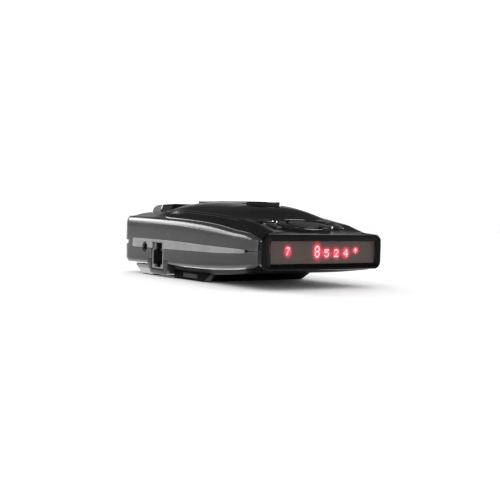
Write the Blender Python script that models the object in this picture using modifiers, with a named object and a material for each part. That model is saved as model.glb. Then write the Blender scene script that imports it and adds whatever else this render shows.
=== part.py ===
"""Dashboard radar detector: a clam-shell case with a glossy top, a display end, a keypad, a mount catch and
the electronics inside.

Case coordinates are millimetres: x to the driver's right, t from the display face towards the windshield,
and z up from the parting plane of the two housings. at() turns them into the model's frame: metres, +Y
towards the windshield, +Z up, with the origin under the middle of the case at the level that it stands on.
"""

import math

import bmesh
import bpy
import numpy as np
from mathutils import Matrix, Vector

MM = 0.001

# Driving dimensions of the case
WIDTH = 72.0
LENGTH = 134.0
PARTING_HEIGHT = 17.5
CORNER_RADIUS = 9.5
END_EDGE_RADIUS = 3.0
GAP = 0.3
WALL = 2.6
COVER_THICKNESS = 1.1
HALF_WIDTH = WIDTH / 2
SHELL_START = 3.7
CORNER_START = LENGTH - CORNER_RADIUS

# Heights along the case, as (t, z): each is one line that runs from the display to the windshield end
UPPER_FACE_TOP = ((0, 4.1), (4, 5.1), (9, 5.6), (36, 7.3), (57, 8.6), (70, 9.5), (90, 9.9), (134, 10.2))
UPPER_EDGE = ((0, 4.6), (4, 5.3), (9, 6.9), (25, 9.0), (41, 11.1), (61, 12.4), (90, 13.2), (134, 13.6))
CREASE = ((0, 8.2), (10, 10.8), (15, 12.3), (21, 13.3), (37, 15.1), (64, 16.7), (93, 17.4), (99, 16.6),
          (107, 14.9), (118, 14.3), (134, 14.1))
RIDGE = ((0, 8.4), (6, 8.95), (16, 11.45), (24, 13.5), (29, 16.0), (34, 18.7), (43, 21.1), (53, 21.9),
         (90, 21.7), (101, 20.0), (112, 18.4), (124, 17.1), (134, 16.6))
LOWER_FACE_END = ((0, -5.0), (13, -6.1), (34, -7.9), (46, -8.6), (64, -9.35), (104, -9.65), (134, -10.0))
LOWER_EDGE = ((0, -6.2), (13, -8.5), (34, -10.4), (46, -11.0), (64, -11.3), (104, -11.9), (134, -12.4))
UNDERSIDE = ((0, -8.3), (13, -10.0), (34, -12.3), (46, -13.0), (104, -13.0), (134, -13.0))
CREASE_X = 28.0
EDGE_INSET = 2.5

# The glossy top cover's outline, and the pad on it that carries the mount slot
COVER_HALF = 33.3
COVER_STRAIGHT_END = 84.0
COVER_END = 100.0
COVER_END_HALF = 25.0
PAD_START = 42.0
PAD_HALF = 10.0
PAD_TOP = 22.9

# Display end
BEZEL_DEPTH = 3.4
BEZEL_LOW = -8.3
BEZEL_HIGH = 8.3
BEZEL_LIP = 0.9
WINDOW_X = (-30.8, 32.6)
WINDOW_Z = (-5.4, 5.0)
WINDOW_FLANGE = 0.9

# Keypad: its plane passes through (0, POD_T, POD_Z) and leans back by POD_TILT
POD_T = 16.2
POD_Z = 11.7
POD_TILT = math.radians(14.2)
RING_OUTER = (16.5, 9.4)
RING_INNER = (15.2, 8.2)
MUTE_HALF = (8.8, 6.2)
KEY_BOTTOM = -3.3
KEY_TOP = 0.7
OUTER_KEY_INSIDE = (17.4, 10.4)
REAR_KEY_OUTSIDE = (25.5, 14.2)
NEAR_KEY_OUTSIDE = (22.6, 14.0)

# Belly cover under the case, which it stands on
BELLY_HALF = 31.8
BELLY_TOP = -13.3
BELLY_BOTTOM = -17.5
BELLY_TOP_T = (47.5, 119.0)
BELLY_BOTTOM_T = (55.0, 114.0)
BELLY_WALL = 1.8

# Sockets on the left side
JACK_T = 92.4
JACK_BODY = 6.1
JACK_LOW = -13.5
JACK_HIGH = 1.3
JACK_FACE = -35.5
JACK_BACK = -21.0
SURROUND_FACE = -35.7
SURROUND_BACK = -19.0
SURROUND = ((82.0, -8.0), (83.0, -16.0), (99.7, -16.0), (104.0, -10.0), (104.0, -8.0))
EAR_T = 106.0
EAR_Z = -2.4

# Mount slot, release button and latch
SLOT_HALF = 7.5
SLOT_T = (90.0, 96.0)
SLOT_FLOOR = 11.0
BUTTON_T = (113.0, 123.5)
BUTTON_HALF = 23.5
BUTTON_TOP = 20.5
BUTTON_BOTTOM = 11.5
HUMP_T = (100.6, 112.6)
HUMP_HALF = 24.5
HUMP_TOP = 20.9
HUMP_SLOPE = 3.5
BUTTON_SLOPE = 2.4
LATCH_ABOVE_FLOOR = 2.1
LATCH_THICKNESS = 1.8
LATCH_TRAVEL = 1.5

# Circuit boards
BOARD_TOP = -3.0
BOARD_BOTTOM = -4.6
SPEAKER = (3.0, 78.5)

SEGMENTS = 24


def at(x, t, z):
    """A point of the case, in the model's frame."""
    return Vector((x, t - LENGTH / 2, z + PARTING_HEIGHT)) * MM


def height(line, t):
    """The height of one of the lengthwise lines at t, on a smooth curve through its points."""
    places, values = np.array(line, float).T
    slopes = np.gradient(values, places)
    i = int(np.clip(np.searchsorted(places, t) - 1, 0, len(places) - 2))
    span = places[i + 1] - places[i]
    s = (t - places[i]) / span
    start = values[i] * (2 * s**3 - 3 * s**2 + 1) + slopes[i] * span * (s**3 - 2 * s**2 + s)
    return float(start + values[i + 1] * (3 * s**2 - 2 * s**3) + slopes[i + 1] * span * (s**3 - s**2))


# ---- scene, materials and general shapes ----

for old in list(bpy.data.objects):
    bpy.data.objects.remove(old)

PARTS = bpy.data.collections.new("radar_detector")
CUTTERS = bpy.data.collections.new("cutters")
bpy.context.scene.collection.children.link(PARTS)
bpy.context.scene.collection.children.link(CUTTERS)


def material(name, colour, roughness, metallic=0.0):
    made = bpy.data.materials.new(name)
    made.use_nodes = True
    shader = made.node_tree.nodes["Principled BSDF"]
    shader.inputs["Base Color"].default_value = (*colour, 1.0)
    shader.inputs["Roughness"].default_value = roughness
    shader.inputs["Metallic"].default_value = metallic
    return made


GREY_SATIN = (0.115, 0.115, 0.118)
BLACK_GLOSS = (0.012, 0.012, 0.013)
BLACK_SATIN = (0.02, 0.02, 0.021)
SILVER_GREY = (0.33, 0.33, 0.34)
SMOKED = (0.13, 0.09, 0.085)
BOARD_GREEN = (0.01, 0.10, 0.04)
DARK_GREY = (0.05, 0.05, 0.052)
STEEL = (0.6, 0.6, 0.62)
CERAMIC = (0.6, 0.55, 0.45)
PAPER = (0.02, 0.02, 0.02)
PAPER_LABEL = (0.55, 0.55, 0.55)


def finished(obj, colour, roughness, metallic=0.0):
    """Gives a piece its own material and files it with the parts."""
    obj.data.materials.clear()
    obj.data.materials.append(material(obj.name, colour, roughness, metallic))
    return obj


def new_object(name, mesh, cutter=False):
    obj = bpy.data.objects.new(name, mesh)
    if cutter:
        CUTTERS.objects.link(obj)
        obj.hide_render = True
        obj.display_type = "WIRE"
    else:
        PARTS.objects.link(obj)
    return obj


def from_bmesh(name, bm, cutter=False):
    bmesh.ops.recalc_face_normals(bm, faces=bm.faces)
    mesh = bpy.data.meshes.new(name)
    bm.to_mesh(mesh)
    bm.free()
    return new_object(name, mesh, cutter)


def box(name, low, high, cutter=False):
    """A block between two corners, in case coordinates."""
    bm = bmesh.new()
    bmesh.ops.create_cube(bm, size=1.0)
    first, last = at(*low), at(*high)
    size = last - first
    bmesh.ops.scale(bm, vec=size, verts=bm.verts)
    obj = from_bmesh(name, bm, cutter)
    obj.location = (first + last) / 2
    return obj


def loft(name, rings, cutter=False):
    """A solid through rings of model points, with flat ends."""
    bm = bmesh.new()
    rows = [[bm.verts.new(point) for point in ring] for ring in rings]
    count = len(rows[0])
    for row, following in zip(rows, rows[1:]):
        for i in range(count):
            j = (i + 1) % count
            bm.faces.new((row[i], row[j], following[j], following[i]))
    bm.faces.new(rows[0])
    bm.faces.new(rows[-1])
    bmesh.ops.recalc_face_normals(bm, faces=bm.faces)
    bmesh.ops.triangulate(bm, faces=bm.faces)
    return from_bmesh(name, bm, cutter)


AXES = {
    "z": Matrix(((1, 0, 0), (0, 1, 0), (0, 0, 1))),
    "x": Matrix(((0, 0, 1), (1, 0, 0), (0, 1, 0))),
    "y": Matrix(((1, 0, 0), (0, 0, -1), (0, 1, 0))),
    "pod": Matrix.Rotation(POD_TILT, 3, "X"),
}


def prism(name, outlines, axis, origin, low, high, cutter=False):
    """A flat outline, with any holes, made thick from low to high along an axis through the origin point."""
    curve = bpy.data.curves.new(name, "CURVE")
    curve.dimensions = "2D"
    curve.fill_mode = "BOTH"
    curve.extrude = (high - low) / 2 * MM
    for outline in outlines:
        spline = curve.splines.new("POLY")
        spline.points.add(len(outline) - 1)
        for point, (a, b) in zip(spline.points, outline):
            point.co = (a * MM, b * MM, 0, 1)
        spline.use_cyclic_u = True
    drawn = bpy.data.objects.new(name, curve)
    PARTS.objects.link(drawn)
    frame = AXES[axis].to_4x4()
    frame.translation = at(*origin) + AXES[axis] @ Vector((0, 0, (low + high) / 2 * MM))
    drawn.matrix_world = frame
    evaluated = drawn.evaluated_get(bpy.context.evaluated_depsgraph_get())
    mesh = bpy.data.meshes.new_from_object(evaluated)
    bpy.data.objects.remove(drawn)
    bm = bmesh.new()
    bm.from_mesh(mesh)
    bmesh.ops.remove_doubles(bm, verts=bm.verts, dist=1e-6)
    bpy.data.meshes.remove(mesh)
    obj = from_bmesh(name, bm, cutter)
    obj.matrix_world = frame
    return obj


def turned(name, profile, origin, axis="z", segments=SEGMENTS, cutter=False):
    """A turned piece: the profile is (radius, height) from top to bottom, about an axis through the origin."""
    mesh = bpy.data.meshes.new(name)
    points = [(radius * MM, 0, height_ * MM) for radius, height_ in profile]
    closed = profile[0][0] > 0
    edges = [(i, i + 1) for i in range(len(points) - 1)]
    if closed:
        edges.append((len(points) - 1, 0))
    mesh.from_pydata(points, edges, [])
    obj = new_object(name, mesh, cutter)
    frame = AXES[axis].to_4x4()
    frame.translation = at(*origin)
    obj.matrix_world = frame
    screw = obj.modifiers.new("turn", "SCREW")
    screw.axis = "Z"
    screw.steps = segments
    screw.render_steps = segments
    screw.use_merge_vertices = True
    screw.merge_threshold = 0.00001
    screw.use_smooth_shade = True
    return obj


def boolean(obj, operation, other):
    change = obj.modifiers.new(other.name, "BOOLEAN")
    change.operation = operation
    change.object = other
    change.solver = "EXACT"


def cut(obj, *cutters):
    for cutter in cutters:
        boolean(obj, "DIFFERENCE", cutter)


def join(obj, *others):
    for other in others:
        boolean(obj, "UNION", other)


def oval(half_x, half_y, centre=(0, 0), start=0, end=360, count=SEGMENTS):
    """Points along an ellipse; a full turn leaves out the repeated last point."""
    turns = np.linspace(math.radians(start), math.radians(end), count, endpoint=(end - start) % 360 != 0)
    return [(centre[0] + half_x * math.cos(a), centre[1] + half_y * math.sin(a)) for a in turns]


def rounded(half_x, low, high, radius, count=5):
    """A rectangle with round corners, symmetric about the second axis."""
    corners = ((half_x, high, 0), (-half_x, high, 90), (-half_x, low, 180), (half_x, low, 270))
    points = []
    for x, y, start in corners:
        centre = (x - math.copysign(radius, x), y - radius if start < 180 else y + radius)
        points += oval(radius, radius, centre, start, start + 90, count)
    return points


# ---- the two housings' lofts ----

def end_rounding(t, inset):
    """How much of the crown's height is left near the windshield end, from 1 down to almost nothing."""
    over = (t - (LENGTH - END_EDGE_RADIUS)) / (END_EDGE_RADIUS - min(inset, 2.0))
    return max(math.sqrt(1 - np.clip(over, 0, 1) ** 2), 0.12)


def squeezed(x, t, inset):
    """The plan's round corners at the windshield end: x drawn in towards the flat of the end."""
    core = HALF_WIDTH - CORNER_RADIUS
    over = (t - CORNER_START) / (CORNER_RADIUS - inset)
    if over <= 0 or abs(x) <= core:
        return x
    return math.copysign(core + (abs(x) - core) * max(math.sqrt(1 - min(over, 1) ** 2), 0.02), x)


def upper_half(t, inset):
    """The upper housing's outline at t, from the parting plane on the right to the middle."""
    face = height(UPPER_FACE_TOP, t) - inset / 2
    edge = height(UPPER_EDGE, t) - inset
    crease = height(CREASE, t) - inset
    ridge = height(RIDGE, t) - inset
    side = HALF_WIDTH - inset
    points = [
        (side, 0),
        (side - 0.3, face),
        (side - 0.9, face + 0.6 * (edge - face)),
        (side - EDGE_INSET, edge),
        (side - 4.4, edge + 0.25 * (crease - edge)),
        (CREASE_X, crease),
    ]
    for x in (24.0, 19.0, 13.0, 6.5, 0.0):
        points.append((x, crease + (1 - (x / CREASE_X) ** 3) * (ridge - crease)))
    left = end_rounding(t, inset)
    return [(x, z if z <= face else face + (z - face) * left) for x, z in points]


def lower_half(t, inset):
    """The lower housing's outline at t, from the parting plane on the right to the middle."""
    face = height(LOWER_FACE_END, t) + inset / 2
    edge = height(LOWER_EDGE, t) + inset
    under = height(UNDERSIDE, t) + inset
    side = HALF_WIDTH - inset
    points = [
        (side, 0),
        (side - 0.3, face),
        (side - 1.0, face + 0.6 * (edge - face)),
        (side - EDGE_INSET, edge),
        (side - 5.0, under + 0.1),
        (0, under),
    ]
    left = end_rounding(t, inset)
    return [(x, z if z >= face else face + (z - face) * left) for x, z in points]


def shell_ring(half, t, inset, below):
    """A closed ring of model points; below moves the open edge past the parting plane."""
    right = [(squeezed(x, t, inset), z if i else below) for i, (x, z) in enumerate(half(t, inset))]
    left = [(-x, z) for x, z in reversed(right[:-1])]
    return [at(x, t, z) for x, z in right + left]


def shell_loft(name, half, inset=0.0, below=0.0, start=SHELL_START, cutter=True):
    """A solid inside the case's surface by the inset, from start to the windshield end."""
    body = [start] + [t for t in (9, 13, 20, 28, 37, 46, 60, 73, 90, 103, 114, CORNER_START) if t > start]
    reach = CORNER_RADIUS - inset
    corner = [CORNER_START + reach * math.sin(math.radians(a)) for a in (22.5, 45, 65, 80, 90)]
    return loft(name, [shell_ring(half, t, inset, below) for t in body + corner], cutter)


def cover_outline(inset):
    """The top cover's plan outline, in x and t."""
    half = COVER_HALF - inset
    far = COVER_END - inset
    depth = far - COVER_STRAIGHT_END
    arc = oval(half - COVER_END_HALF, depth, (COVER_END_HALF, COVER_STRAIGHT_END), 0, 90, 6)
    near = [(-half, SHELL_START - 3), (half, SHELL_START - 3)]
    return near + arc + [(-x, t) for x, t in reversed(arc)]


# ---- holes that several pieces share ----

def key_outlines():
    """Outlines of the seven keys on the keypad's plane."""
    reach = (RING_INNER[0] - 0.4, RING_INNER[1] - 0.4)
    around = (MUTE_HALF[0] + 0.45, MUTE_HALF[1] + 0.45)

    def crescent(middle, spread=52):
        return (oval(*reach, start=middle - spread, end=middle + spread, count=13)
                + oval(*around, start=middle + spread, end=middle - spread, count=13))

    def band(outside, start, end):
        return (oval(*outside, start=start, end=end, count=8)
                + oval(*OUTER_KEY_INSIDE, start=end, end=start, count=8))

    return {
        "button_mute": oval(*MUTE_HALF, count=32),
        "button_sensitivity": crescent(180),
        "button_brightness": crescent(0),
        "button_power": band(REAR_KEY_OUTSIDE, 134, 160),
        "button_mark": band(REAR_KEY_OUTSIDE, 20, 46),
        "button_volume_down": band(NEAR_KEY_OUTSIDE, 167, 206),
        "button_volume_up": band(NEAR_KEY_OUTSIDE, -26, 13),
    }


def grown(outline, by):
    """An outline moved outwards by about the given amount, from each of its corners' two sides."""
    points = np.array(outline, float)
    before = points - np.roll(points, 1, axis=0)
    after = np.roll(points, -1, axis=0) - points
    before /= np.linalg.norm(before, axis=1)[:, None]
    after /= np.linalg.norm(after, axis=1)[:, None]
    along = before + after
    along /= np.linalg.norm(along, axis=1)[:, None]
    outwards = np.column_stack((along[:, 1], -along[:, 0]))
    widen = np.clip(np.sum(before * along, axis=1), 0.5, 1)[:, None]
    return [tuple(p) for p in points + outwards * by / widen]


def pod_prism(name, outlines, low, high, cutter=False):
    """A piece on the keypad's plane, from low to high along the plane's normal."""
    return prism(name, outlines, "pod", (0, POD_T, POD_Z), low, high, cutter)


KEYS = key_outlines()
KEY_HOLES = [pod_prism("hole_" + name, [grown(outline, GAP)], -9, 6, True)
             for name, outline in KEYS.items()]
SLOT_HOLE = box("slot_hole", (-SLOT_HALF, SLOT_T[0], SLOT_FLOOR), (SLOT_HALF, SLOT_T[1], 40), True)
JACK_POCKET = box("jack_pocket", (-40, JACK_T - JACK_BODY - GAP, JACK_LOW - GAP),
                  (JACK_BACK + GAP, JACK_T + JACK_BODY + GAP, JACK_HIGH + GAP), True)
EAR_HOLE = turned("ear_hole", [(0, 40), (2.75, 40), (2.75, 30), (0, 30)], (0, EAR_T, EAR_Z), "x", cutter=True)
EAR_HOLE.matrix_world = Matrix.Rotation(math.pi, 4, "Z") @ EAR_HOLE.matrix_world
EAR_HOLE.location = at(0, EAR_T, EAR_Z)


def trim_outline(inset):
    """The side trim's outline in t and z, smaller than its recess by the inset."""
    top = ((14, 0.8), (38, 1.1), (73, 2.0), (120, 2.2))
    bottom = ((14, -1.4), (34, -2.3), (64, -2.7), (120, -3.1))
    places = np.linspace(14 + inset, 120 - inset, 8)
    upper = [(t, height(top, t) - inset) for t in places]
    lower = [(t, height(bottom, t) + inset) for t in places]
    return lower + upper[::-1]


def side_prism(name, side, inset, low, high, cutter=False):
    """The side trim's outline, from low to high outwards of the case's middle plane."""
    first, last = (low, high) if side > 0 else (-high, -low)
    return prism(name, [trim_outline(inset)], "x", (0, 0, 0), first, last, cutter)


TRIM_DEPTH = 1.1
TRIM_RECESSES = [side_prism("trim_recess_right", 1, 0, HALF_WIDTH - TRIM_DEPTH, 40, True),
                 side_prism("trim_recess_left", -1, 0, HALF_WIDTH - TRIM_DEPTH, 40, True)]
SCREW_PLACES = [(x, t) for x in (-27.0, 27.0) for t in (17.0, 125.0)]


# ---- housings and covers ----

def upper_housing():
    obj = shell_loft("upper_housing", upper_half, below=GAP / 2, cutter=False)
    hollow = shell_loft("upper_hollow", upper_half, WALL, -2, start=3)
    cover_room = prism("cover_room", [cover_outline(0)], "z", (0, 0, 0), 2, 40, True)
    cut(cover_room, shell_loft("cover_floor", upper_half, COVER_THICKNESS + GAP, -2, start=2))
    cut(obj, cover_room, hollow)
    for i, (x, t) in enumerate(SCREW_PLACES):
        roof = height(UPPER_EDGE, t) - 1.5
        profile = [(0, roof), (3.0, roof), (3.0, 0.4), (0, 0.4)]
        join(obj, turned(f"upper_boss_{i}", profile, (x, t, 0), cutter=True))
        profile = [(0, 7), (1.35, 7), (1.35, -1), (0, -1)]
        cut(obj, turned(f"upper_pilot_{i}", profile, (x, t, 0), cutter=True))
    wall = box("slot_block", (-SLOT_HALF - 2.5, SLOT_T[0] - 3, SLOT_FLOOR - 2),
               (SLOT_HALF + 2.5, SLOT_T[1] + 3, 18.2), True)
    join(obj, wall)
    latch_low = SLOT_FLOOR + LATCH_ABOVE_FLOOR
    latch_window = box("latch_window", (-6.3, SLOT_T[1] - 1, latch_low - GAP),
                       (6.3, SLOT_T[1] + 4, latch_low + LATCH_THICKNESS + GAP), True)
    button_hole = box("button_hole", (-BUTTON_HALF - GAP, BUTTON_T[0] - GAP, 0),
                      (BUTTON_HALF + GAP, BUTTON_T[1] + GAP, 40), True)
    lens_hole = box("lens_hole", (-22, LENGTH - 5, 1.5), (22, LENGTH + 5, 8.5), True)
    cut(obj, SLOT_HOLE, latch_window, button_hole, lens_hole)
    cut(obj, JACK_POCKET, EAR_HOLE, *TRIM_RECESSES, *KEY_HOLES)
    return finished(obj, GREY_SATIN, 0.45)


def lower_housing():
    obj = shell_loft("lower_housing", lower_half, below=-GAP / 2, cutter=False)
    hollow = shell_loft("lower_hollow", lower_half, WALL, 2, start=3)
    surround_room = prism("surround_room", [grown(SURROUND, GAP)], "x", (0, 0, 0),
                          -40, SURROUND_BACK + GAP, True)
    cut(obj, hollow, surround_room)
    for i, (x, t) in enumerate(SCREW_PLACES):
        profile = [(0, -0.6), (3.6, -0.6), (3.6, -10), (0, -10)]
        join(obj, turned(f"lower_boss_{i}", profile, (x, t, 0), cutter=True))
        profile = [(0, 2), (1.5, 2), (1.5, -7.0), (2.8, -7.0), (2.8, -20), (0, -20)]
        cut(obj, turned(f"screw_way_{i}", profile, (x, t, 0), cutter=True))
    speaker_hole = turned("speaker_hole", [(0, -5), (19.5, -5), (19.5, -20), (0, -20)], (*SPEAKER, 0),
                          segments=32, cutter=True)
    cut(obj, speaker_hole, JACK_POCKET, EAR_HOLE, *TRIM_RECESSES)
    return finished(obj, GREY_SATIN, 0.5)


def socket_surround():
    """The boss that stands below the lower housing's left side, round the modular socket."""
    obj = prism("socket_surround", [SURROUND], "x", (0, 0, 0), SURROUND_FACE, SURROUND_BACK)
    cut(obj, JACK_POCKET)
    return finished(obj, GREY_SATIN, 0.5)


def top_cover():
    obj = shell_loft("top_cover", upper_half, start=SHELL_START, cutter=False)
    room = prism("cover_shape", [cover_outline(GAP)], "z", (0, 0, 0), 1, 40, True)
    pad_plan = rounded(PAD_HALF, PAD_START, COVER_END - GAP, 8, 6)
    pad = prism("mount_pad", [pad_plan], "z", (0, 0, 0), 17, PAD_TOP, True)
    pod = pod_prism("keypad_platform", [oval(17.0, 9.9, count=32)], -2.0, 0, True)
    boolean(obj, "INTERSECT", room)
    join(obj, pad, pod)
    cut(obj, shell_loft("under_cover", upper_half, COVER_THICKNESS, -2, start=2))
    cut(obj, SLOT_HOLE, *KEY_HOLES)
    ring_groove = [oval(RING_OUTER[0] + GAP, RING_OUTER[1] + GAP, count=32),
                   oval(RING_INNER[0] - GAP, RING_INNER[1] - GAP, count=32)]
    cut(obj, pod_prism("ring_groove", ring_groove, -0.6, 6, True))
    return finished(obj, BLACK_GLOSS, 0.12)


def belly_ring(inset, z, t_range, half):
    corners = ((half, t_range[0]), (half, t_range[1]), (-half, t_range[1]), (-half, t_range[0]))
    near = t_range[0]
    return [at(x - math.copysign(inset, x), t + (inset if t == near else -inset), z) for x, t in corners]


def belly_cover():
    obj = loft("belly_cover", [belly_ring(0, BELLY_TOP, BELLY_TOP_T, BELLY_HALF),
                               belly_ring(0, BELLY_BOTTOM, BELLY_BOTTOM_T, BELLY_HALF)])
    room = [belly_ring(BELLY_WALL, BELLY_TOP + 1, BELLY_TOP_T, BELLY_HALF),
            belly_ring(BELLY_WALL, BELLY_BOTTOM + 1.6, BELLY_BOTTOM_T, BELLY_HALF)]
    hollow = loft("belly_hollow", room, True)
    boss_room = box("boss_room", (-40, 81.5, -30), (SURROUND_BACK + GAP, 104.5, 0), True)
    label_room = box("label_room", (-18, 98, -30), (18, 111, BELLY_BOTTOM + 0.5), True)
    cut(obj, hollow, boss_room, label_room)
    for i in range(7):
        x = SPEAKER[0] + (i - 3) * 4.4
        reach = 13.5 - 0.9 * (i - 3) ** 2
        low, high = (x - 0.9, SPEAKER[1] - reach, -30), (x + 0.9, SPEAKER[1] + reach, -15)
        cut(obj, box(f"sound_slot_{i}", low, high, True))
    return finished(obj, BLACK_SATIN, 0.5)


def side_trim(name, side):
    obj = side_prism(name, side, 0.25, HALF_WIDTH - TRIM_DEPTH + GAP, HALF_WIDTH - 0.05)
    if side < 0:
        key_notch = box("trim_key_notch", (-40, JACK_T - 3.0, -10), (-30, JACK_T + 3.0, 0.25), True)
        cut(obj, key_notch, EAR_HOLE)
    return finished(obj, SILVER_GREY, 0.35)


def front_lens():
    obj = box("front_lens", (-22 + GAP, LENGTH - 2.4, 1.5 + GAP), (22 - GAP, LENGTH - 0.3, 8.5 - GAP))
    return finished(obj, BLACK_GLOSS, 0.1)


def rating_label():
    obj = box("rating_label", (-17.7, 98.3, BELLY_BOTTOM + 0.1), (17.7, 110.7, BELLY_BOTTOM + 0.25))
    return finished(obj, PAPER_LABEL, 0.6)


# ---- display end ----

def display_bezel():
    """The frame runs from an upright rectangle with round corners back to the housings' own section."""
    upper = [(36, 0), (36, 5.7), (35.8, 6.9), (34.6, 8.1), (32.5, BEZEL_HIGH)]
    upper += [(x, BEZEL_HIGH) for x in (CREASE_X, 24.0, 19.0, 13.0, 6.5, 0.0)]
    lower = [(0, BEZEL_LOW), (31, BEZEL_LOW), (33.6, BEZEL_LOW), (35.3, -7.6), (36, -5.9)]
    right = lower + upper
    front = [at(x, 0, z) for x, z in right] + [at(-x, 0, z) for x, z in right[-2:0:-1]]
    section = lower_half(BEZEL_DEPTH, 0)[:0:-1] + upper_half(BEZEL_DEPTH, 0)
    back = [at(x, BEZEL_DEPTH, z) for x, z in section]
    back += [at(-x, BEZEL_DEPTH, z) for x, z in section[-2:0:-1]]
    obj = loft("display_bezel", [front, back])
    (left, right_end), (low, high) = WINDOW_X, WINDOW_Z
    opening = box("window_opening", (left, -5, low), (right_end, 20, high), True)
    flange = WINDOW_FLANGE + GAP
    pocket = box("window_pocket", (left - flange, BEZEL_LIP, low - flange),
                 (right_end + flange, 20, high + flange), True)
    cut(obj, opening, pocket)
    return finished(obj, BLACK_GLOSS, 0.15)


def display_window():
    (left, right), (low, high) = WINDOW_X, WINDOW_Z
    first = BEZEL_LIP + GAP
    obj = box("display_window", (left - WINDOW_FLANGE, first, low - WINDOW_FLANGE),
              (right + WINDOW_FLANGE, first + 1.4, high + WINDOW_FLANGE))
    return finished(obj, SMOKED, 0.1)


def display_board():
    obj = box("display_circuit_board", (-28, 7.2, -5.0), (28, 8.4, 2.9))
    finished(obj, BOARD_GREEN, 0.5)
    module = box("led_matrix_module", (-26, 5.2, -4.4), (26, 6.9, 2.9))
    for i in range(4):
        join(module, box(f"led_face_{i}", (-25.8 + 13 * i, 4.2, -4.2), (-13.2 + 13 * i, 5.7, 2.7), True))
    finished(module, DARK_GREY, 0.4)
    sensor = box("rear_laser_sensor", (26.4, 4.4, -2.0), (28.0, 6.9, 1.5))
    finished(sensor, DARK_GREY, 0.2)
    header = box("display_header", (-12, 8.7, -2.7), (12, 12.2, -0.2))
    finished(header, DARK_GREY, 0.5)


# ---- keypad ----

def keypad():
    for name, outline in KEYS.items():
        key = pod_prism(name, [outline], KEY_BOTTOM, KEY_TOP)
        finished(key, BLACK_SATIN, 0.3)
    ring = pod_prism("button_ring", [oval(*RING_OUTER, count=32), oval(*RING_INNER, count=32)], -0.3, 0.9)
    finished(ring, BLACK_GLOSS, 0.15)
    board = pod_prism("keypad_board", [rounded(21.0, -6.0, 10.6, 5, 4)], -6.2, -5.4)
    finished(board, BOARD_GREEN, 0.5)
    places = ((0, 0), (-12, 0), (12, 0), (-17.6, 7.0), (17.6, 7.0), (-19.6, -0.8), (19.6, -0.8))
    membrane = pod_prism("keypad_membrane", [rounded(20.6, -5.7, 10.2, 4.8, 4)], -5.1, -4.8)
    for i, place in enumerate(places):
        join(membrane, pod_prism(f"dome_{i}", [oval(1.8, 1.8, place, count=12)], -4.9, -3.95, True))
    finished(membrane, DARK_GREY, 0.7)


# ---- mount catch ----

def mount_catch():
    def hump_ring(t, half, top, base, slope):
        corners = ((-half, base), (half, base), (half - slope, top), (slope - half, top))
        return [at(x, t, z) for x, z in corners]

    near, far = HUMP_T
    hump = loft("mount_housing", [
        hump_ring(near, HUMP_HALF - 1, HUMP_TOP - 0.7, 14.0, HUMP_SLOPE),
        hump_ring(near + 2, HUMP_HALF, HUMP_TOP, 14.0, HUMP_SLOPE),
        hump_ring(far, HUMP_HALF, HUMP_TOP - 0.6, 14.0, HUMP_SLOPE),
    ])
    cut(hump, shell_loft("hump_floor", upper_half, -GAP, -2, start=80))
    finished(hump, BLACK_GLOSS, 0.15)

    first, last = BUTTON_T
    button = loft("mount_release_button", [
        hump_ring(first, BUTTON_HALF, BUTTON_TOP, BUTTON_BOTTOM, BUTTON_SLOPE),
        hump_ring(last - 3, BUTTON_HALF, BUTTON_TOP - 0.8, BUTTON_BOTTOM, BUTTON_SLOPE),
        hump_ring(last, BUTTON_HALF, BUTTON_TOP - 2.0, BUTTON_BOTTOM, BUTTON_SLOPE),
    ])
    for i in range(4):
        t = first + 1.6 + 2.0 * i
        groove = box(f"button_groove_{i}", (-40, t, BUTTON_TOP - 0.9 - 0.2 * i), (40, t + 0.8, 40), True)
        cut(button, groove)
    finished(button, BLACK_SATIN, 0.3)

    low = SLOT_FLOOR + LATCH_ABOVE_FLOOR
    tip, tail = SLOT_T[1] - 1.2, first - LATCH_TRAVEL - 0.5
    latch = box("mount_latch", (-6, tip, low), (6, tail, low + LATCH_THICKNESS))
    finished(latch, STEEL, 0.3, 1.0)

    turns, radius, wire = 6, 2.2, 0.35
    low, high = BOARD_TOP + GAP + wire, BUTTON_BOTTOM - GAP - wire
    count = turns * 10 + 1
    curve = bpy.data.curves.new("release_button_spring", "CURVE")
    curve.dimensions = "3D"
    curve.bevel_depth = wire * MM
    curve.bevel_resolution = 2
    curve.use_fill_caps = True
    spline = curve.splines.new("POLY")
    spline.points.add(count - 1)
    for i, point in enumerate(spline.points):
        turn = 2 * math.pi * turns * i / (count - 1)
        rise = (high - low) * i / (count - 1)
        point.co = (*at(-17 + radius * math.cos(turn), 118 + radius * math.sin(turn), low + rise), 1)
    spring = bpy.data.objects.new("release_button_spring", curve)
    PARTS.objects.link(spring)
    finished(spring, STEEL, 0.3, 1.0)


# ---- electronics ----

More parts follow.
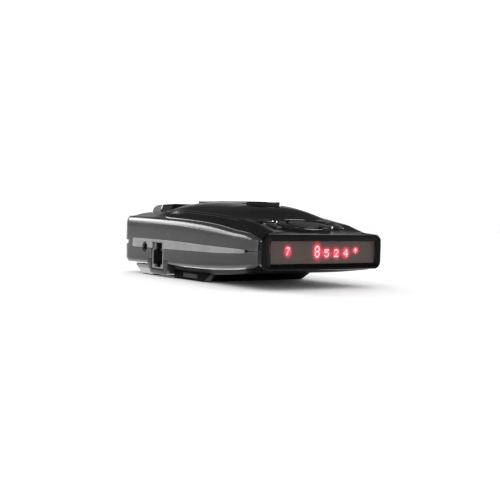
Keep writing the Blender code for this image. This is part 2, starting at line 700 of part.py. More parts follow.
def main_board():
    obj = box("main_circuit_board", (-30.5, 12.0, BOARD_BOTTOM), (30.5, 124.0, BOARD_TOP))
    cut(obj, box("socket_notch", (-40, 84.8, -20), (JACK_BACK + 1.0, 111.5, 20), True))
    for i, (x, t) in enumerate(SCREW_PLACES):
        cut(obj, turned(f"board_relief_{i}", [(0, 5), (4.4, 5), (4.4, -9), (0, -9)], (x, t, 0), cutter=True))
    finished(obj, BOARD_GREEN, 0.5)

    can = box("rf_shield_can", (-16, 58, BOARD_TOP + GAP), (20, 85, 4.5))
    cut(can, box("can_room", (-15.4, 58.6, BOARD_TOP - 1), (19.4, 84.4, 3.9), True))
    finished(can, STEEL, 0.35, 1.0)

    chips = (("processor_chip", (-10, 38), (4, 52)), ("memory_chip", (9, 40), (15, 50)),
             ("receiver_chip", (-26, 62), (-19, 69)))
    for name, low, high in chips:
        finished(box(name, (*low, BOARD_TOP + GAP), (*high, -1.3)), PAPER, 0.4)

    profile = [(0, 6.0), (2.9, 6.0), (3.15, 5.7), (3.15, BOARD_TOP + GAP), (0, BOARD_TOP + GAP)]
    for name, t in (("input_capacitor", 38), ("output_capacitor", 47)):
        finished(turned(name, profile, (-26, t, 0), segments=16), DARK_GREY, 0.3)

    patch = box("gps_patch_antenna", (9.5, 24.5, BOARD_TOP + GAP), (27.5, 36, 1.3))
    finished(patch, CERAMIC, 0.5)

    profile = [(0, -1.4), (1.9, -1.4), (1.9, -2.7), (0.95, -2.7), (0.95, -6.0), (0, -6.0)]
    places = (("board_screw_left", -28, 76), ("board_screw_right", 28, 76), ("board_screw_near", 28, 40))
    for name, x, t in places:
        hole = turned("hole_" + name, [(0, 5), (1.25, 5), (1.25, -9), (0, -9)], (x, t, 0), cutter=True)
        cut(obj, hole)
        finished(turned(name, profile, (x, t, 0), segments=12), STEEL, 0.3, 1.0)


def horn():
    def ring(t, half, low, high, middle=5.0):
        return [at(x, t, z) for x, z in ((middle - half, low), (middle + half, low),
                                         (middle + half, high), (middle - half, high))]

    obj = loft("horn_antenna", [ring(87, 7, -2.5, 4.5), ring(95, 7, -2.5, 4.5), ring(121, 18, -2.5, 8.5)])
    cut(obj, loft("horn_throat", [ring(88.2, 5.8, -1.3, 3.3), ring(95, 5.8, -1.3, 3.3),
                                  ring(123, 17.6, -1.3, 8.1)], True))
    finished(obj, STEEL, 0.4, 0.9)
    sensor = box("front_laser_sensor", (-20, 124.0, 1.8), (-9, 130.8, 8.0))
    finished(sensor, DARK_GREY, 0.3)


def speaker():
    centre = (*SPEAKER, 0)
    frame = turned("speaker_frame", [(18.6, -10.9), (18.6, -15.2), (17.2, -15.2), (17.2, -13.0), (9.5, -11.2),
                                     (9.5, -10.0), (16.5, -10.9)], centre, segments=32)
    finished(frame, DARK_GREY, 0.4)
    cone = turned("speaker_cone", [(0, -12.6), (5.0, -12.6), (8.5, -12.2), (16.8, -13.9), (16.8, -14.5),
                                   (8.6, -12.9), (5.0, -13.3), (0, -13.4)], centre, segments=32)
    finished(cone, PAPER, 0.8)
    magnet = turned("speaker_magnet", [(0, -6.0), (8.6, -6.0), (9.0, -6.4), (9.0, -11.0), (0, -11.0)], centre)
    finished(magnet, STEEL, 0.3, 1.0)


def sockets():
    body = JACK_BODY
    jack = box("modular_jack_socket", (-34.6, JACK_T - body, JACK_LOW), (JACK_BACK, JACK_T + body, JACK_HIGH))
    nose = box("jack_nose", (JACK_FACE, JACK_T - body, JACK_LOW), (-34, JACK_T + body, -3.2), True)
    join(jack, nose)
    mouth = box("jack_mouth", (-40, JACK_T - 4.75, -12.5), (-22.5, JACK_T + 4.75, -3.5), True)
    keyway = box("jack_keyway", (-40, JACK_T - 3.0, -4), (-22.5, JACK_T + 3.0, 0.2), True)
    cut(jack, mouth, keyway)
    finished(jack, BLACK_SATIN, 0.4)

    profile = [(0, -22.5), (3.0, -22.5), (3.0, -33.0), (2.4, -33.0), (2.4, -35.6), (1.8, -35.6),
               (1.8, -24.0), (0, -24.0)]
    ear = turned("earphone_jack_socket", profile, (0, EAR_T, EAR_Z), "x")
    finished(ear, BLACK_SATIN, 0.4)


def case_screws():
    profile = [(0, 5.5), (0.8, 5.5), (1.1, 5.0), (1.1, -7.3), (2.4, -7.3), (2.4, -9.0), (0, -9.0)]
    for i, (x, t) in enumerate(SCREW_PLACES):
        finished(turned(f"case_screw_{i + 1}", profile, (x, t, 0), segments=16), STEEL, 0.3, 1.0)


upper_housing()
lower_housing()
socket_surround()
top_cover()
belly_cover()
side_trim("right_side_trim", 1)
side_trim("left_side_trim", -1)
front_lens()
rating_label()
display_bezel()
display_window()
display_board()
keypad()
mount_catch()
main_board()
horn()
speaker()
sockets()
case_screws()
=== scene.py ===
"""Finished looks for the radar detector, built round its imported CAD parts.

Case coordinates are millimetres, as in the CAD: x to the driver's right, t from the display face towards the
windshield, and z up from the parting plane of the two housings. at() turns them into the row frame.
"""

import math

import bmesh
import bpy
import numpy as np
from mathutils import Matrix, Vector


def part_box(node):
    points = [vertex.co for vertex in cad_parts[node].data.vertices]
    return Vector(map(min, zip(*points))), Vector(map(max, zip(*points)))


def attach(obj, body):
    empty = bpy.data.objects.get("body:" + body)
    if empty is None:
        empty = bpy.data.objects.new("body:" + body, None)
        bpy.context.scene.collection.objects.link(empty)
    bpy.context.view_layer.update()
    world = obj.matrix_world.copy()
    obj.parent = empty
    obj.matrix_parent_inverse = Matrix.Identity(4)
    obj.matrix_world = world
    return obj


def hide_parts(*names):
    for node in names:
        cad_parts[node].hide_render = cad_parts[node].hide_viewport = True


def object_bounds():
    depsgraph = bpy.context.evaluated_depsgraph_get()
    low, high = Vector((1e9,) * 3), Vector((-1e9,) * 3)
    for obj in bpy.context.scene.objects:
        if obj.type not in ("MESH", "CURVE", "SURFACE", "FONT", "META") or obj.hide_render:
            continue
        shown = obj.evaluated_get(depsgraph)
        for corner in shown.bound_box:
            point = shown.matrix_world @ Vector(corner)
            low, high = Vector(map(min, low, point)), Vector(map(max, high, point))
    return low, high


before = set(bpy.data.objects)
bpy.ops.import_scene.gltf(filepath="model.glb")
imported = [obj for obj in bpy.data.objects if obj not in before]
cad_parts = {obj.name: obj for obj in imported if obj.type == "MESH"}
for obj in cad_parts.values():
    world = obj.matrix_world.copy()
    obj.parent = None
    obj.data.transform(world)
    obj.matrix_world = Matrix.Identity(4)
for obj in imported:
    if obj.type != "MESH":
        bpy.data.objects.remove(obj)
CAD_LOW, CAD_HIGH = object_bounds()
MM = 0.001
FAR = 40  # beyond every surface of the case, for the ends of cutters

# The case's own measures: the length, half width and parting height are taken from the imported parts
LENGTH = (CAD_HIGH.y - CAD_LOW.y) / MM
HALF_WIDTH = CAD_HIGH.x / MM
GAP = 0.3
PARTING_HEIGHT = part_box("upper_housing")[0].z / MM - GAP / 2
CORNER_RADIUS = 9.5
CORNER_START = LENGTH - CORNER_RADIUS
END_EDGE_RADIUS = 3.0
WALL = 2.6
COVER_THICKNESS = 1.1
SHELL_START = 3.7
HOLLOW_START = 3

# Heights along the case, as (t, z), on the same lines as the CAD
UPPER_FACE_TOP = ((0, 4.1), (4, 5.1), (9, 5.6), (36, 7.3), (57, 8.6), (70, 9.5), (90, 9.9), (134, 10.2))
UPPER_EDGE = ((0, 4.6), (4, 5.3), (9, 6.9), (25, 9.0), (41, 11.1), (61, 12.4), (90, 13.2), (134, 13.6))
CREASE = ((0, 8.2), (10, 10.8), (15, 12.3), (21, 13.3), (37, 15.1), (64, 16.7), (93, 17.4), (99, 16.6),
          (107, 14.9), (118, 14.3), (134, 14.1))
RIDGE = ((0, 8.4), (6, 8.95), (16, 11.45), (24, 13.5), (29, 16.0), (34, 18.7), (43, 21.1), (53, 21.9),
         (90, 21.7), (101, 20.0), (112, 18.4), (124, 17.1), (134, 16.6))
LOWER_FACE_END = ((0, -5.0), (13, -6.1), (34, -7.9), (46, -8.6), (64, -9.35), (104, -9.65), (134, -10.0))
LOWER_EDGE = ((0, -6.2), (13, -8.5), (34, -10.4), (46, -11.0), (64, -11.3), (104, -11.9), (134, -12.4))
UNDERSIDE = ((0, -8.3), (13, -10.0), (34, -12.3), (46, -13.0), (104, -13.0), (134, -13.0))
CREASE_X = 28.0
CREASE_ROUND = 0.8
EDGE_INSET = 2.5

COVER_HALF = 33.3
COVER_STRAIGHT_END = 84.0
COVER_END = 100.0
COVER_END_HALF = 25.0
COVER_EDGE_ROUND = 0.5
PAD_START = 42.0
PAD_HALF = 10.0
PAD_FOOT = 17.0
PAD_TOP = 22.9

BEZEL_DEPTH = 3.4
BEZEL_Z = (-8.3, 8.3)
BEZEL_LIP = 0.9
WINDOW_X = (-30.8, 32.6)
WINDOW_Z = (-5.4, 5.0)
WINDOW_FLANGE = 0.9
WINDOW_BACK = 2.6

POD_T = 16.2
POD_Z = 11.7
POD_TILT = math.radians(14.2)
RING_OUTER = (16.5, 9.4)
RING_INNER = (15.2, 8.2)
MUTE_HALF = (8.8, 6.2)
KEY_BOTTOM = -3.3
KEY_TOP = 0.7
KEY_GAP = 0.4
OUTER_KEY_INSIDE = (17.4, 10.4)
REAR_KEY_OUTSIDE = (25.5, 14.2)
NEAR_KEY_OUTSIDE = (22.6, 14.0)

BELLY_Z = (-17.5, -13.3)
BELLY_HALF = 31.8
BELLY_TOP_T = (47.5, 119.0)
BELLY_BOTTOM_T = (55.0, 114.0)
SPEAKER = (3.0, 78.5)
SPEAKER_RADIUS = 19.5
PANEL_T = (59.5, 73.5)
CASE_SCREWS = ((-27.0, 17.0), (-27.0, 125.0), (27.0, 17.0), (27.0, 125.0))
POST_RADIUS = 3.6
SCREW_RADIUS = 1.5
COUNTERBORE_RADIUS = 2.8

JACK_T = 92.4
JACK_BODY = 6.1
JACK_Z = (-13.5, 1.3)
JACK_FACE = -35.5
JACK_BACK = -21.0
SURROUND_X = (-35.7, -19.0)
JACK_MOUTH_HALF = 4.75
JACK_MOUTH_Z = (-12.5, -3.5)
JACK_KEYWAY_HALF = 3.0
JACK_KEYWAY_TOP = 0.2
JACK_MOUTH_BACK = -22.5
JACK_NOSE_TOP = -3.2
SURROUND = ((82.0, -8.0), (83.0, -16.0), (99.7, -16.0), (104.0, -10.0), (104.0, -8.0))
EAR_AT = (106.0, -2.4)

LENS_HALF = 22
LENS_Z = (1.5, 8.5)
SLOT_HALF = 7.5
SLOT_T = (90.0, 96.0)
SLOT_FLOOR = 11.0
SLOT_BLOCK_TOP = 18.2
LATCH_HALF = 6.3
LATCH_Z = (12.8, 15.2)
BUTTON_T = (113.0, 123.5)
BUTTON_HALF = 23.5
BUTTON_Z = (11.5, 20.5)
BUTTON_SLOPE = 2.4
# The ribs' stretch and spacing, as shares of the button's length
RIBS_FROM = 0.09
RIBS_TO = 0.93
RIB_PITCH = 0.168
SPRING_AT = (-17, 118)
HUMP_T = (100.6, 112.6)
HUMP_HALF = 24.5
HUMP_BASE = 14.0
HUMP_TOP = 20.9
HUMP_ROUND = 1.4
HUMP_SLOPE = 3.5
TRIM_T = (14.0, 120.0)
TRIM_TOP = ((14, 0.8), (38, 1.1), (73, 2.0), (120, 2.2))
TRIM_BOTTOM = ((14, -1.4), (34, -2.3), (64, -2.7), (120, -3.1))
TRIM_DEPTH = 1.1
NOTCH_LENGTH = 2.6
NOTCH_DEPTH = 1.6
NOTCH_Z = (-0.6, 0.45)
GROOVE_START = 121.5
GROOVE_Z = (-1.6, 0.6)
GROOVE_DEPTH = 1.0


def at(x, t, z):
    """A point of the case, in the row frame."""
    return Vector((x, t - LENGTH / 2, z + PARTING_HEIGHT)) * MM


def height(line, t):
    """The height of one of the lengthwise lines at t, on a smooth curve through its points."""
    places, values = np.array(line, float).T
    slopes = np.gradient(values, places)
    i = int(np.clip(np.searchsorted(places, t) - 1, 0, len(places) - 2))
    span = places[i + 1] - places[i]
    s = (t - places[i]) / span
    start = values[i] * (2 * s**3 - 3 * s**2 + 1) + slopes[i] * span * (s**3 - 2 * s**2 + s)
    return float(start + values[i + 1] * (3 * s**2 - 2 * s**3) + slopes[i + 1] * span * (s**3 - s**2))


# ---- general shapes ----

SHARP = math.radians(34)
CUTTERS = []


def smoothed(mesh):
    """Smooth shading, broken at the sharp edges."""
    mesh.polygons.foreach_set("use_smooth", [True] * len(mesh.polygons))
    mesh.set_sharp_from_angle(angle=SHARP)


def solid(name, bm, cutter=False):
    """An object from a bmesh. A cutter is only a tool for carving, and is deleted at the end."""
    bmesh.ops.recalc_face_normals(bm, faces=bm.faces)
    mesh = bpy.data.meshes.new(name)
    bm.to_mesh(mesh)
    bm.free()
    smoothed(mesh)
    obj = bpy.data.objects.new(name, mesh)
    bpy.context.scene.collection.objects.link(obj)
    if cutter:
        CUTTERS.append(obj)
    return obj


def bridge(bm, rows, closed=False):
    """Quads between closed rows of vertices; closed also joins the last row to the first."""
    count = len(rows[0])
    following = rows[1:] + rows[:1] if closed else rows[1:]
    for row, after in zip(rows, following):
        for i in range(count):
            j = (i + 1) % count
            bm.faces.new((row[i], row[j], after[j], after[i]))


def loft(name, rings, cutter=False, closed=False):
    """A solid through rings of row-frame points, with flat ends unless it is closed on itself."""
    bm = bmesh.new()
    rows = [[bm.verts.new(point) for point in ring] for ring in rings]
    bridge(bm, rows, closed)
    if not closed:
        bm.faces.new(rows[0])
        bm.faces.new(rows[-1])
    return solid(name, bm, cutter)


def grown(outline, by):
    """An anticlockwise outline moved outwards by the given amount, or inwards if it is negative."""
    points = np.array(outline, float)
    before = points - np.roll(points, 1, axis=0)
    after = np.roll(points, -1, axis=0) - points
    before /= np.linalg.norm(before, axis=1)[:, None]
    after /= np.linalg.norm(after, axis=1)[:, None]
    ahead = before + after
    ahead /= np.linalg.norm(ahead, axis=1)[:, None]
    outwards = np.column_stack((ahead[:, 1], -ahead[:, 0]))
    widen = np.clip(np.sum(before * ahead, axis=1), 0.5, 1)[:, None]
    return [tuple(p) for p in points + outwards * by / widen]


def stack(name, outline, profile, place, cutter=False):
    """A solid through copies of a flat outline, each inset and raised as the profile says."""
    rings = []
    for inset, level in profile:
        loop = grown(outline, -inset) if inset else outline
        rings.append([place(a, b, level) for a, b in loop])
    return loft(name, rings, cutter)


def rounded_edge(radius, level, sign=1, count=5):
    """Profile steps of a quarter round that ends flat at the level; sign says which way is outwards."""
    turns = np.linspace(0, math.pi / 2, count)
    return [(radius * (1 - math.cos(a)), level - sign * radius * (1 - math.sin(a))) for a in turns]


def on_plan(a, b, level):
    return at(a, b, level)


def on_front(a, b, level):
    """x and z drawn on an upright plane across the case; the level is t."""
    return at(a, level, b)


def on_side(a, b, level):
    """t and z drawn on an upright plane along the case; the level is x."""
    return at(level, a, b)


def on_pod(a, b, level):
    """A point on the keypad's leaning plane; the level is along its normal."""
    t = POD_T + b * math.cos(POD_TILT) - level * math.sin(POD_TILT)
    return at(a, t, POD_Z + b * math.sin(POD_TILT) + level * math.cos(POD_TILT))


def oval(half_x, half_y, centre=(0, 0), start=0, end=360, count=64):
    """Points along an ellipse; a full turn leaves out the repeated last point."""
    turns = np.linspace(math.radians(start), math.radians(end), count, endpoint=(end - start) % 360 != 0)
    return [(centre[0] + half_x * math.cos(a), centre[1] + half_y * math.sin(a)) for a in turns]


def rounded(left, right, low, high, radius, count=7):
    """A rectangle with round corners, anticlockwise from where its top right corner starts."""
    corners = ((right - radius, high - radius, 0), (left + radius, high - radius, 90),
               (left + radius, low + radius, 180), (right - radius, low + radius, 270))
    points = []
    for x, y, start in corners:
        points += oval(radius, radius, (x, y), start, start + 90, count)
    return points


def eased(start, corner, end, shares):
    """Points of the curve from start to end that is drawn towards the corner."""
    return [start * (1 - s) ** 2 + corner * 2 * s * (1 - s) + end * s**2 for s in shares]


def rounded_corner(before, here, after, radius, count):
    """Points that turn the corner here, from the radius before it to the radius after it."""
    start = here + (before - here).normalized() * radius
    end = here + (after - here).normalized() * radius
    return eased(start, here, end, np.linspace(0, 1, count))


def with_round_corners(corners, radii, count=6):
    """An anticlockwise outline whose corners are rounded by curves that start the radii away."""
    corners = [Vector(corner) for corner in corners]
    points = []
    for neighbours in zip(corners[-1:] + corners[:-1], corners, corners[1:] + corners[:1], radii):
        points += [tuple(point) for point in rounded_corner(*neighbours, count)]
    return points


def distances(points):
    """How far along an outline each of its points lies."""
    return np.r_[0, np.cumsum(np.linalg.norm(np.diff(points, axis=0), axis=1))]


def along(points, shares):
    """Points at the given shares of the way along an outline."""
    points = np.array(points)
    steps = distances(points)
    places = steps[-1] * np.asarray(shares)
    return list(zip(np.interp(places, steps, points[:, 0]), np.interp(places, steps, points[:, 1])))


def prism(name, outline, low, high, place):
    """A straight cutter between two levels."""
    return stack(name, outline, [(0, low), (0, high)], place, True)


def block(name, low, high):
    """A plain block between two corners, for carving."""
    corners = ((low[0], low[1]), (high[0], low[1]), (high[0], high[1]), (low[0], high[1]))
    return prism(name, corners, low[2], high[2], on_plan)


def room(name, half, t, z):
    """A block that reaches as far to the left as to the right, for carving."""
    return block(name, (-half, t[0], z[0]), (half, t[1], z[1]))


def peg(name, radius, centre, low, high, count=64):
    """An upright round peg between two heights, for carving."""
    return prism(name, oval(radius, radius, centre, count=count), low, high, on_plan)


def carve(obj, *others, operation="DIFFERENCE"):
    """Applies booleans to the object at once, so that no modifier is left on it."""
    for other in others:
        change = obj.modifiers.new(other.name, "BOOLEAN")
        change.operation = operation
        change.object = other
        change.solver = "EXACT"
    evaluated = obj.evaluated_get(bpy.context.evaluated_depsgraph_get())
    mesh = bpy.data.meshes.new_from_object(evaluated)
    if not mesh.polygons:
        raise RuntimeError(f"carving {obj.name} left nothing")
    obj.modifiers.clear()
    obj.data = mesh
    smoothed(mesh)


def merged(name, *objects):
    """Separate shapes as one object."""
    bm = bmesh.new()
    for obj in objects:
        bm.from_mesh(obj.data)
        bpy.data.objects.remove(obj)
    return solid(name, bm)


# ---- the two housings' sections ----

SIDE_COUNT = 5
SHOULDER_COUNT = 26
ROUND_COUNT = 6
DECK_COUNT = 34


def curve_through(points, places):
    """Points at the given shares, from 0 to 1, of a smooth curve through the given ones."""
    points = np.array(points, float)
    steps = distances(points)
    return np.column_stack([[height(np.column_stack((steps, column)), s * steps[-1]) for s in places]
                            for column in points.T])


def end_rounding(t, inset):
    """How much of the crown's height is left near the windshield end, from 1 down to almost nothing."""
    over = (t - (LENGTH - END_EDGE_RADIUS)) / (END_EDGE_RADIUS - min(inset, END_EDGE_RADIUS - 1))
    return max(math.sqrt(1 - np.clip(over, 0, 1) ** 2), 0.12)


def squeezed(x, t, inset):
    """The plan's round corners at the windshield end: x drawn in towards the flat of the end."""
    core = HALF_WIDTH - CORNER_RADIUS
    over = (t - CORNER_START) / (CORNER_RADIUS - inset)
    if over <= 0 or abs(x) <= core:
        return x
    return math.copysign(core + (abs(x) - core) * max(math.sqrt(1 - min(over, 1) ** 2), 0.02), x)


def deck_height(x, crease, ridge):
    return crease + (1 - (x / CREASE_X) ** 3) * (ridge - crease)


def wall_and_shoulder(side, face, shoulder, last=1.0):
    """Points up the side wall and round the shoulder, as far as the last share of the shoulder."""
    wall = [(side - 0.3 * s, face * s) for s in np.linspace(0, 1, SIDE_COUNT)[:-1]]
    return wall + [tuple(point) for point in curve_through(shoulder, np.linspace(0, last, SHOULDER_COUNT))]


def upper_section(t, inset):
    """The upper housing's outline at t, from the parting plane on the right to the middle.

    It returns the height at which the side wall ends, and the outline's points.
    """
    face = height(UPPER_FACE_TOP, t) - inset / 2
    edge = height(UPPER_EDGE, t) - inset
    crease = height(CREASE, t) - inset
    ridge = height(RIDGE, t) - inset
    side = HALF_WIDTH - inset
    shoulder = [(side - 0.3, face), (side - 0.9, face + 0.6 * (edge - face)), (side - EDGE_INSET, edge),
                (side - 4.4, edge + 0.25 * (crease - edge)), (CREASE_X, crease)]
    length = distances(np.array(shoulder))[-1]
    points = wall_and_shoulder(side, face, shoulder, 1 - CREASE_ROUND / length)
    deck = [(x, deck_height(x, crease, ridge)) for x in np.linspace(CREASE_X - CREASE_ROUND, 0, DECK_COUNT)]
    turn = eased(*np.array((points[-1], (CREASE_X, crease), deck[0])), np.linspace(0, 1, ROUND_COUNT)[1:-1])
    return face, [*points, *map(tuple, turn), *deck]


def lower_section(t, inset):
    """The lower housing's outline at t, from the parting plane on the right to the middle."""
    face = height(LOWER_FACE_END, t) + inset / 2
    edge = height(LOWER_EDGE, t) + inset
    under = height(UNDERSIDE, t) + inset
    side = HALF_WIDTH - inset
    shoulder = [(side - 0.3, face), (side - 1.0, face + 0.6 * (edge - face)), (side - EDGE_INSET, edge),
                (side - 5.0, under + 0.1), (side - 7.0, under)]
    flat = [(x, under) for x in np.linspace(side - 7.0, 0, 8)[1:]]
    return face, wall_and_shoulder(side, face, shoulder) + flat


def section_ring(section, t, inset, below):
    """A closed ring of row-frame points; below moves the open edge past the parting plane."""
    face, points = section(t, inset)
    left_over = end_rounding(t, inset)
    right = []
    for i, (x, z) in enumerate(points):
        beyond = z - face
        if beyond * face > 0:
            z = face + beyond * left_over
        right.append((squeezed(x, t, inset), z if i else below))
    left = [(-x, z) for x, z in reversed(right[:-1])]
    return [at(x, t, z) for x, z in right + left]


def shell(name, section, inset=0.0, below=0.0, start=SHELL_START, cutter=False):
    """A solid inside the case's surface by the inset, from start to the windshield end."""
    body = list(np.linspace(start, CORNER_START, 62))
    reach = CORNER_RADIUS - inset
    corner = [CORNER_START + reach * math.sin(math.radians(a)) for a in np.linspace(0, 90, 17)[1:]]
    return loft(name, [section_ring(section, t, inset, below) for t in body + corner], cutter)


DECK_T = np.linspace(SHELL_START - 1, 126, 248)
DECK_X = np.linspace(0, 35.4, 178)


def deck_table():
    """Heights of the upper housing's outside, on a grid over x and t."""
    rows = []
    for t in DECK_T:
        xs, zs = np.array(upper_section(t, 0)[1]).T
        rows.append(np.interp(DECK_X, xs[::-1], zs[::-1]))
    return np.array(rows)


DECK = deck_table()
PLATFORM = (17.0, 9.7)
PLATFORM_BLEND = 0.1


def deck_z(x, t):
    """Height of the case's top at x and t, with the keypad's platform blended in."""
    row = np.clip((t - DECK_T[0]) / (DECK_T[1] - DECK_T[0]), 0, len(DECK_T) - 1.001)
    i = int(row)
    share = row - i
    z = (1 - share) * np.interp(abs(x), DECK_X, DECK[i]) + share * np.interp(abs(x), DECK_X, DECK[i + 1])
    away = math.hypot(x / PLATFORM[0], (t - POD_T) / PLATFORM[1]) - 1
    weight = np.clip(1 - away / PLATFORM_BLEND, 0, 1)
    weight = weight * weight * (3 - 2 * weight)
    return float((1 - weight) * z + weight * (POD_Z + (t - POD_T) * math.tan(POD_TILT)))


# ---- materials ----

NOISE_RANGE = (0.35, 0.65)
MOTTLE = 0.012
WORN_FROM = 0.53
WORN_TO = 0.62
WORN_SHARE = 0.5


def grey(value):
    return value, value, value


def set_inputs(tree, node, values):
    """Gives a node's inputs their values, or links them to other nodes' outputs."""
    for socket, value in values.items():
        if isinstance(value, bpy.types.NodeSocket):
            tree.links.new(value, node.inputs[socket])
        else:
            node.inputs[socket].default_value = value


def add_node(tree, kind, values, **settings):
    """A shader node with its settings and its inputs."""
    node = tree.nodes.new("ShaderNode" + kind)
    for name, value in settings.items():
        setattr(node, name, value)
    set_inputs(tree, node, values)
    return node


def map_range(tree, value, low, high, first=0.0, last=1.0, kind="LINEAR"):
    """How far the value is from low to high, as a number from first to last."""
    values = {"Value": value, "From Min": low, "From Max": high, "To Min": first, "To Max": last}
    return add_node(tree, "MapRange", values, interpolation_type=kind).outputs["Result"]


def noise(tree, coordinates, size, detail=2.0):
    """Noise whose features are about the given size, in metres."""
    values = {"Scale": 1 / size, "Detail": detail, "Vector": coordinates}
    return add_node(tree, "TexNoise", values).outputs["Fac"]


def spread(tree, source, low, high):
    """Noise values stretched over a range."""
    return map_range(tree, source, *NOISE_RANGE, low, high)


def mix(tree, share, first, second):
    """A colour between two colours or sockets."""
    first, second = ((*end, 1) if isinstance(end, tuple) else end for end in (first, second))
    values = {"Factor": share, "A": first, "B": second}
    return add_node(tree, "Mix", values, data_type="RGBA").outputs["Result"]


def new_material(name):
    """A material, with its node tree, its shader and the object's own coordinates."""
    made = bpy.data.materials.new(name)
    made.use_nodes = True
    tree = made.node_tree
    coordinates = tree.nodes.new("ShaderNodeTexCoord").outputs["Object"]
    return made, tree, tree.nodes["Principled BSDF"], coordinates


def surface(name, colour, roughness, metallic=0.0, vary=0.12, grain=0.0002, depth=0.00001, worn=None,
            specular=0.5, alpha=1.0):
    """A moulded, painted or metal surface: mottled, unevenly glossy, finely grained, worn at its edges."""
    made, tree, shader, coordinates = new_material(name)
    fine = noise(tree, coordinates, grain)
    darker, lighter = (tuple(c * share for c in colour) for share in (1 - vary, 1 + vary))
    base = mix(tree, spread(tree, noise(tree, coordinates, MOTTLE, 4.0), 0, 1), darker, lighter)
    if worn:
        edges = tree.nodes.new("ShaderNodeNewGeometry").outputs["Pointiness"]
        base = mix(tree, map_range(tree, edges, WORN_FROM, WORN_TO, 0, WORN_SHARE), base, worn)
    bump = add_node(tree, "Bump", {"Distance": depth, "Height": fine})
    set_inputs(tree, shader, {
        "Base Color": base, "Roughness": spread(tree, fine, roughness * 0.9, roughness * 1.12),
        "Normal": bump.outputs["Normal"], "Metallic": metallic, "Specular IOR Level": specular,
        "Alpha": alpha})
    return made


MATERIALS = {
    "case_grey": surface("case_grey_look", (0.03, 0.03, 0.031), 0.2, grain=0.00035, depth=0.000004,
                         worn=grey(0.12), specular=0.52),
    "cover_gloss": surface("cover_gloss_look", (0.006, 0.006, 0.0065), 0.13, depth=0.0000012, grain=0.0008,
                           specular=0.4),
    # The belly's near-black, with almost no gloss; on the sheet under the case it is painted shade
    "belly_black": surface("belly_and_shade_black_look", grey(0.004), 0.36, depth=0.000006, grain=0.0004,
                           specular=0.004),
    "trim_silver": surface("trim_silver_look", (0.2, 0.2, 0.203), 0.42, depth=0.000006),
    "sensor_lens": surface("sensor_lens_look", (0.012, 0.004, 0.006), 0.06, depth=0.000001),
    "label_foil": surface("label_foil_look", grey(0.5), 0.38, 0.4, depth=0.000003),
    "bezel_gloss": surface("bezel_gloss_look", (0.003, 0.003, 0.0034), 0.09, depth=0.000001, grain=0.001,
                           specular=0.09),
    "display_lens": surface("display_lens_look", (0.03, 0.022, 0.02), 0.08, depth=0.0000008, grain=0.001,
                            alpha=0.45),
    "circuit_board": surface("circuit_board_look", (0.01, 0.09, 0.035), 0.42, grain=0.0006),
    "component_black": surface("component_black_look", (0.025, 0.025, 0.026), 0.5),
    "silicone": surface("silicone_look", grey(0.2), 0.55),
    "key_black": surface("key_black_look", (0.009, 0.009, 0.0095), 0.22, depth=0.000003, grain=0.0003),
    "steel": surface("steel_look", (0.5, 0.5, 0.52), 0.3, 1.0, grain=0.0003),
    "tinned_steel": surface("tinned_steel_look", (0.6, 0.6, 0.58), 0.32, 1.0, grain=0.0005),
    "ceramic": surface("ceramic_look", (0.55, 0.5, 0.42), 0.6),
    "cast_horn": surface("cast_horn_look", (0.52, 0.52, 0.53), 0.45, 0.9, depth=0.00002),
    "speaker_paper": surface("speaker_paper_look", grey(0.02), 0.9, depth=0.00006, grain=0.0006),
    "socket_black": surface("socket_black_look", grey(0.012), 0.4),
}

# The lower half of the case is slightly darker and less shiny than the upper half: its darker colour is
# painted shade, a shaded copy of the case grey
SHADED_UNDER_LOOK = surface("case_grey_painted_shade_look", (0.016, 0.016, 0.0165), 0.19, grain=0.00035, depth=0.000004,
                     worn=grey(0.08), specular=0.3)


def dress(obj, slot, body="root", replaces=(), look=None):
    """Gives a new piece its material, the slot's look unless another look is given, puts it on its body and
    hides the CAD nodes that it stands for.
    """
    obj.data.materials.clear()
    obj.data.materials.append(look or MATERIALS[slot])
    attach(obj, body)
    if replaces:
        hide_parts(*replaces)
    return obj


# ---- shared holes ----

def trim_outline(inset):
    """The side trim's outline in t and z, smaller than its recess by the inset."""
    places = np.linspace(TRIM_T[0] + inset, TRIM_T[1] - inset, 30)
    upper = [(t, height(TRIM_TOP, t) - inset) for t in places]
    lower = [(t, height(TRIM_BOTTOM, t) + inset) for t in places]
    return lower + upper[::-1]


def key_outlines():
    """Outlines of the seven keys on the keypad's plane."""
    reach = [half - KEY_GAP for half in RING_INNER]
    around = [half + KEY_GAP + 0.05 for half in MUTE_HALF]

    def between(outside, start, end, inside=OUTER_KEY_INSIDE, count=20):
        """The part of the band between two ovals from one angle to another."""
        return (oval(*outside, start=start, end=end, count=count)
                + oval(*inside, start=end, end=start, count=count))

    return {
        "button_mute": oval(*MUTE_HALF, count=72),
        "button_sensitivity": between(reach, 128, 232, around, 40),
        "button_brightness": between(reach, -52, 52, around, 40),
        "button_power": between(REAR_KEY_OUTSIDE, 134, 160),
        "button_mark": between(REAR_KEY_OUTSIDE, 20, 46),
        "button_volume_down": between(NEAR_KEY_OUTSIDE, 167, 206),
        "button_volume_up": between(NEAR_KEY_OUTSIDE, -26, 13),
    }


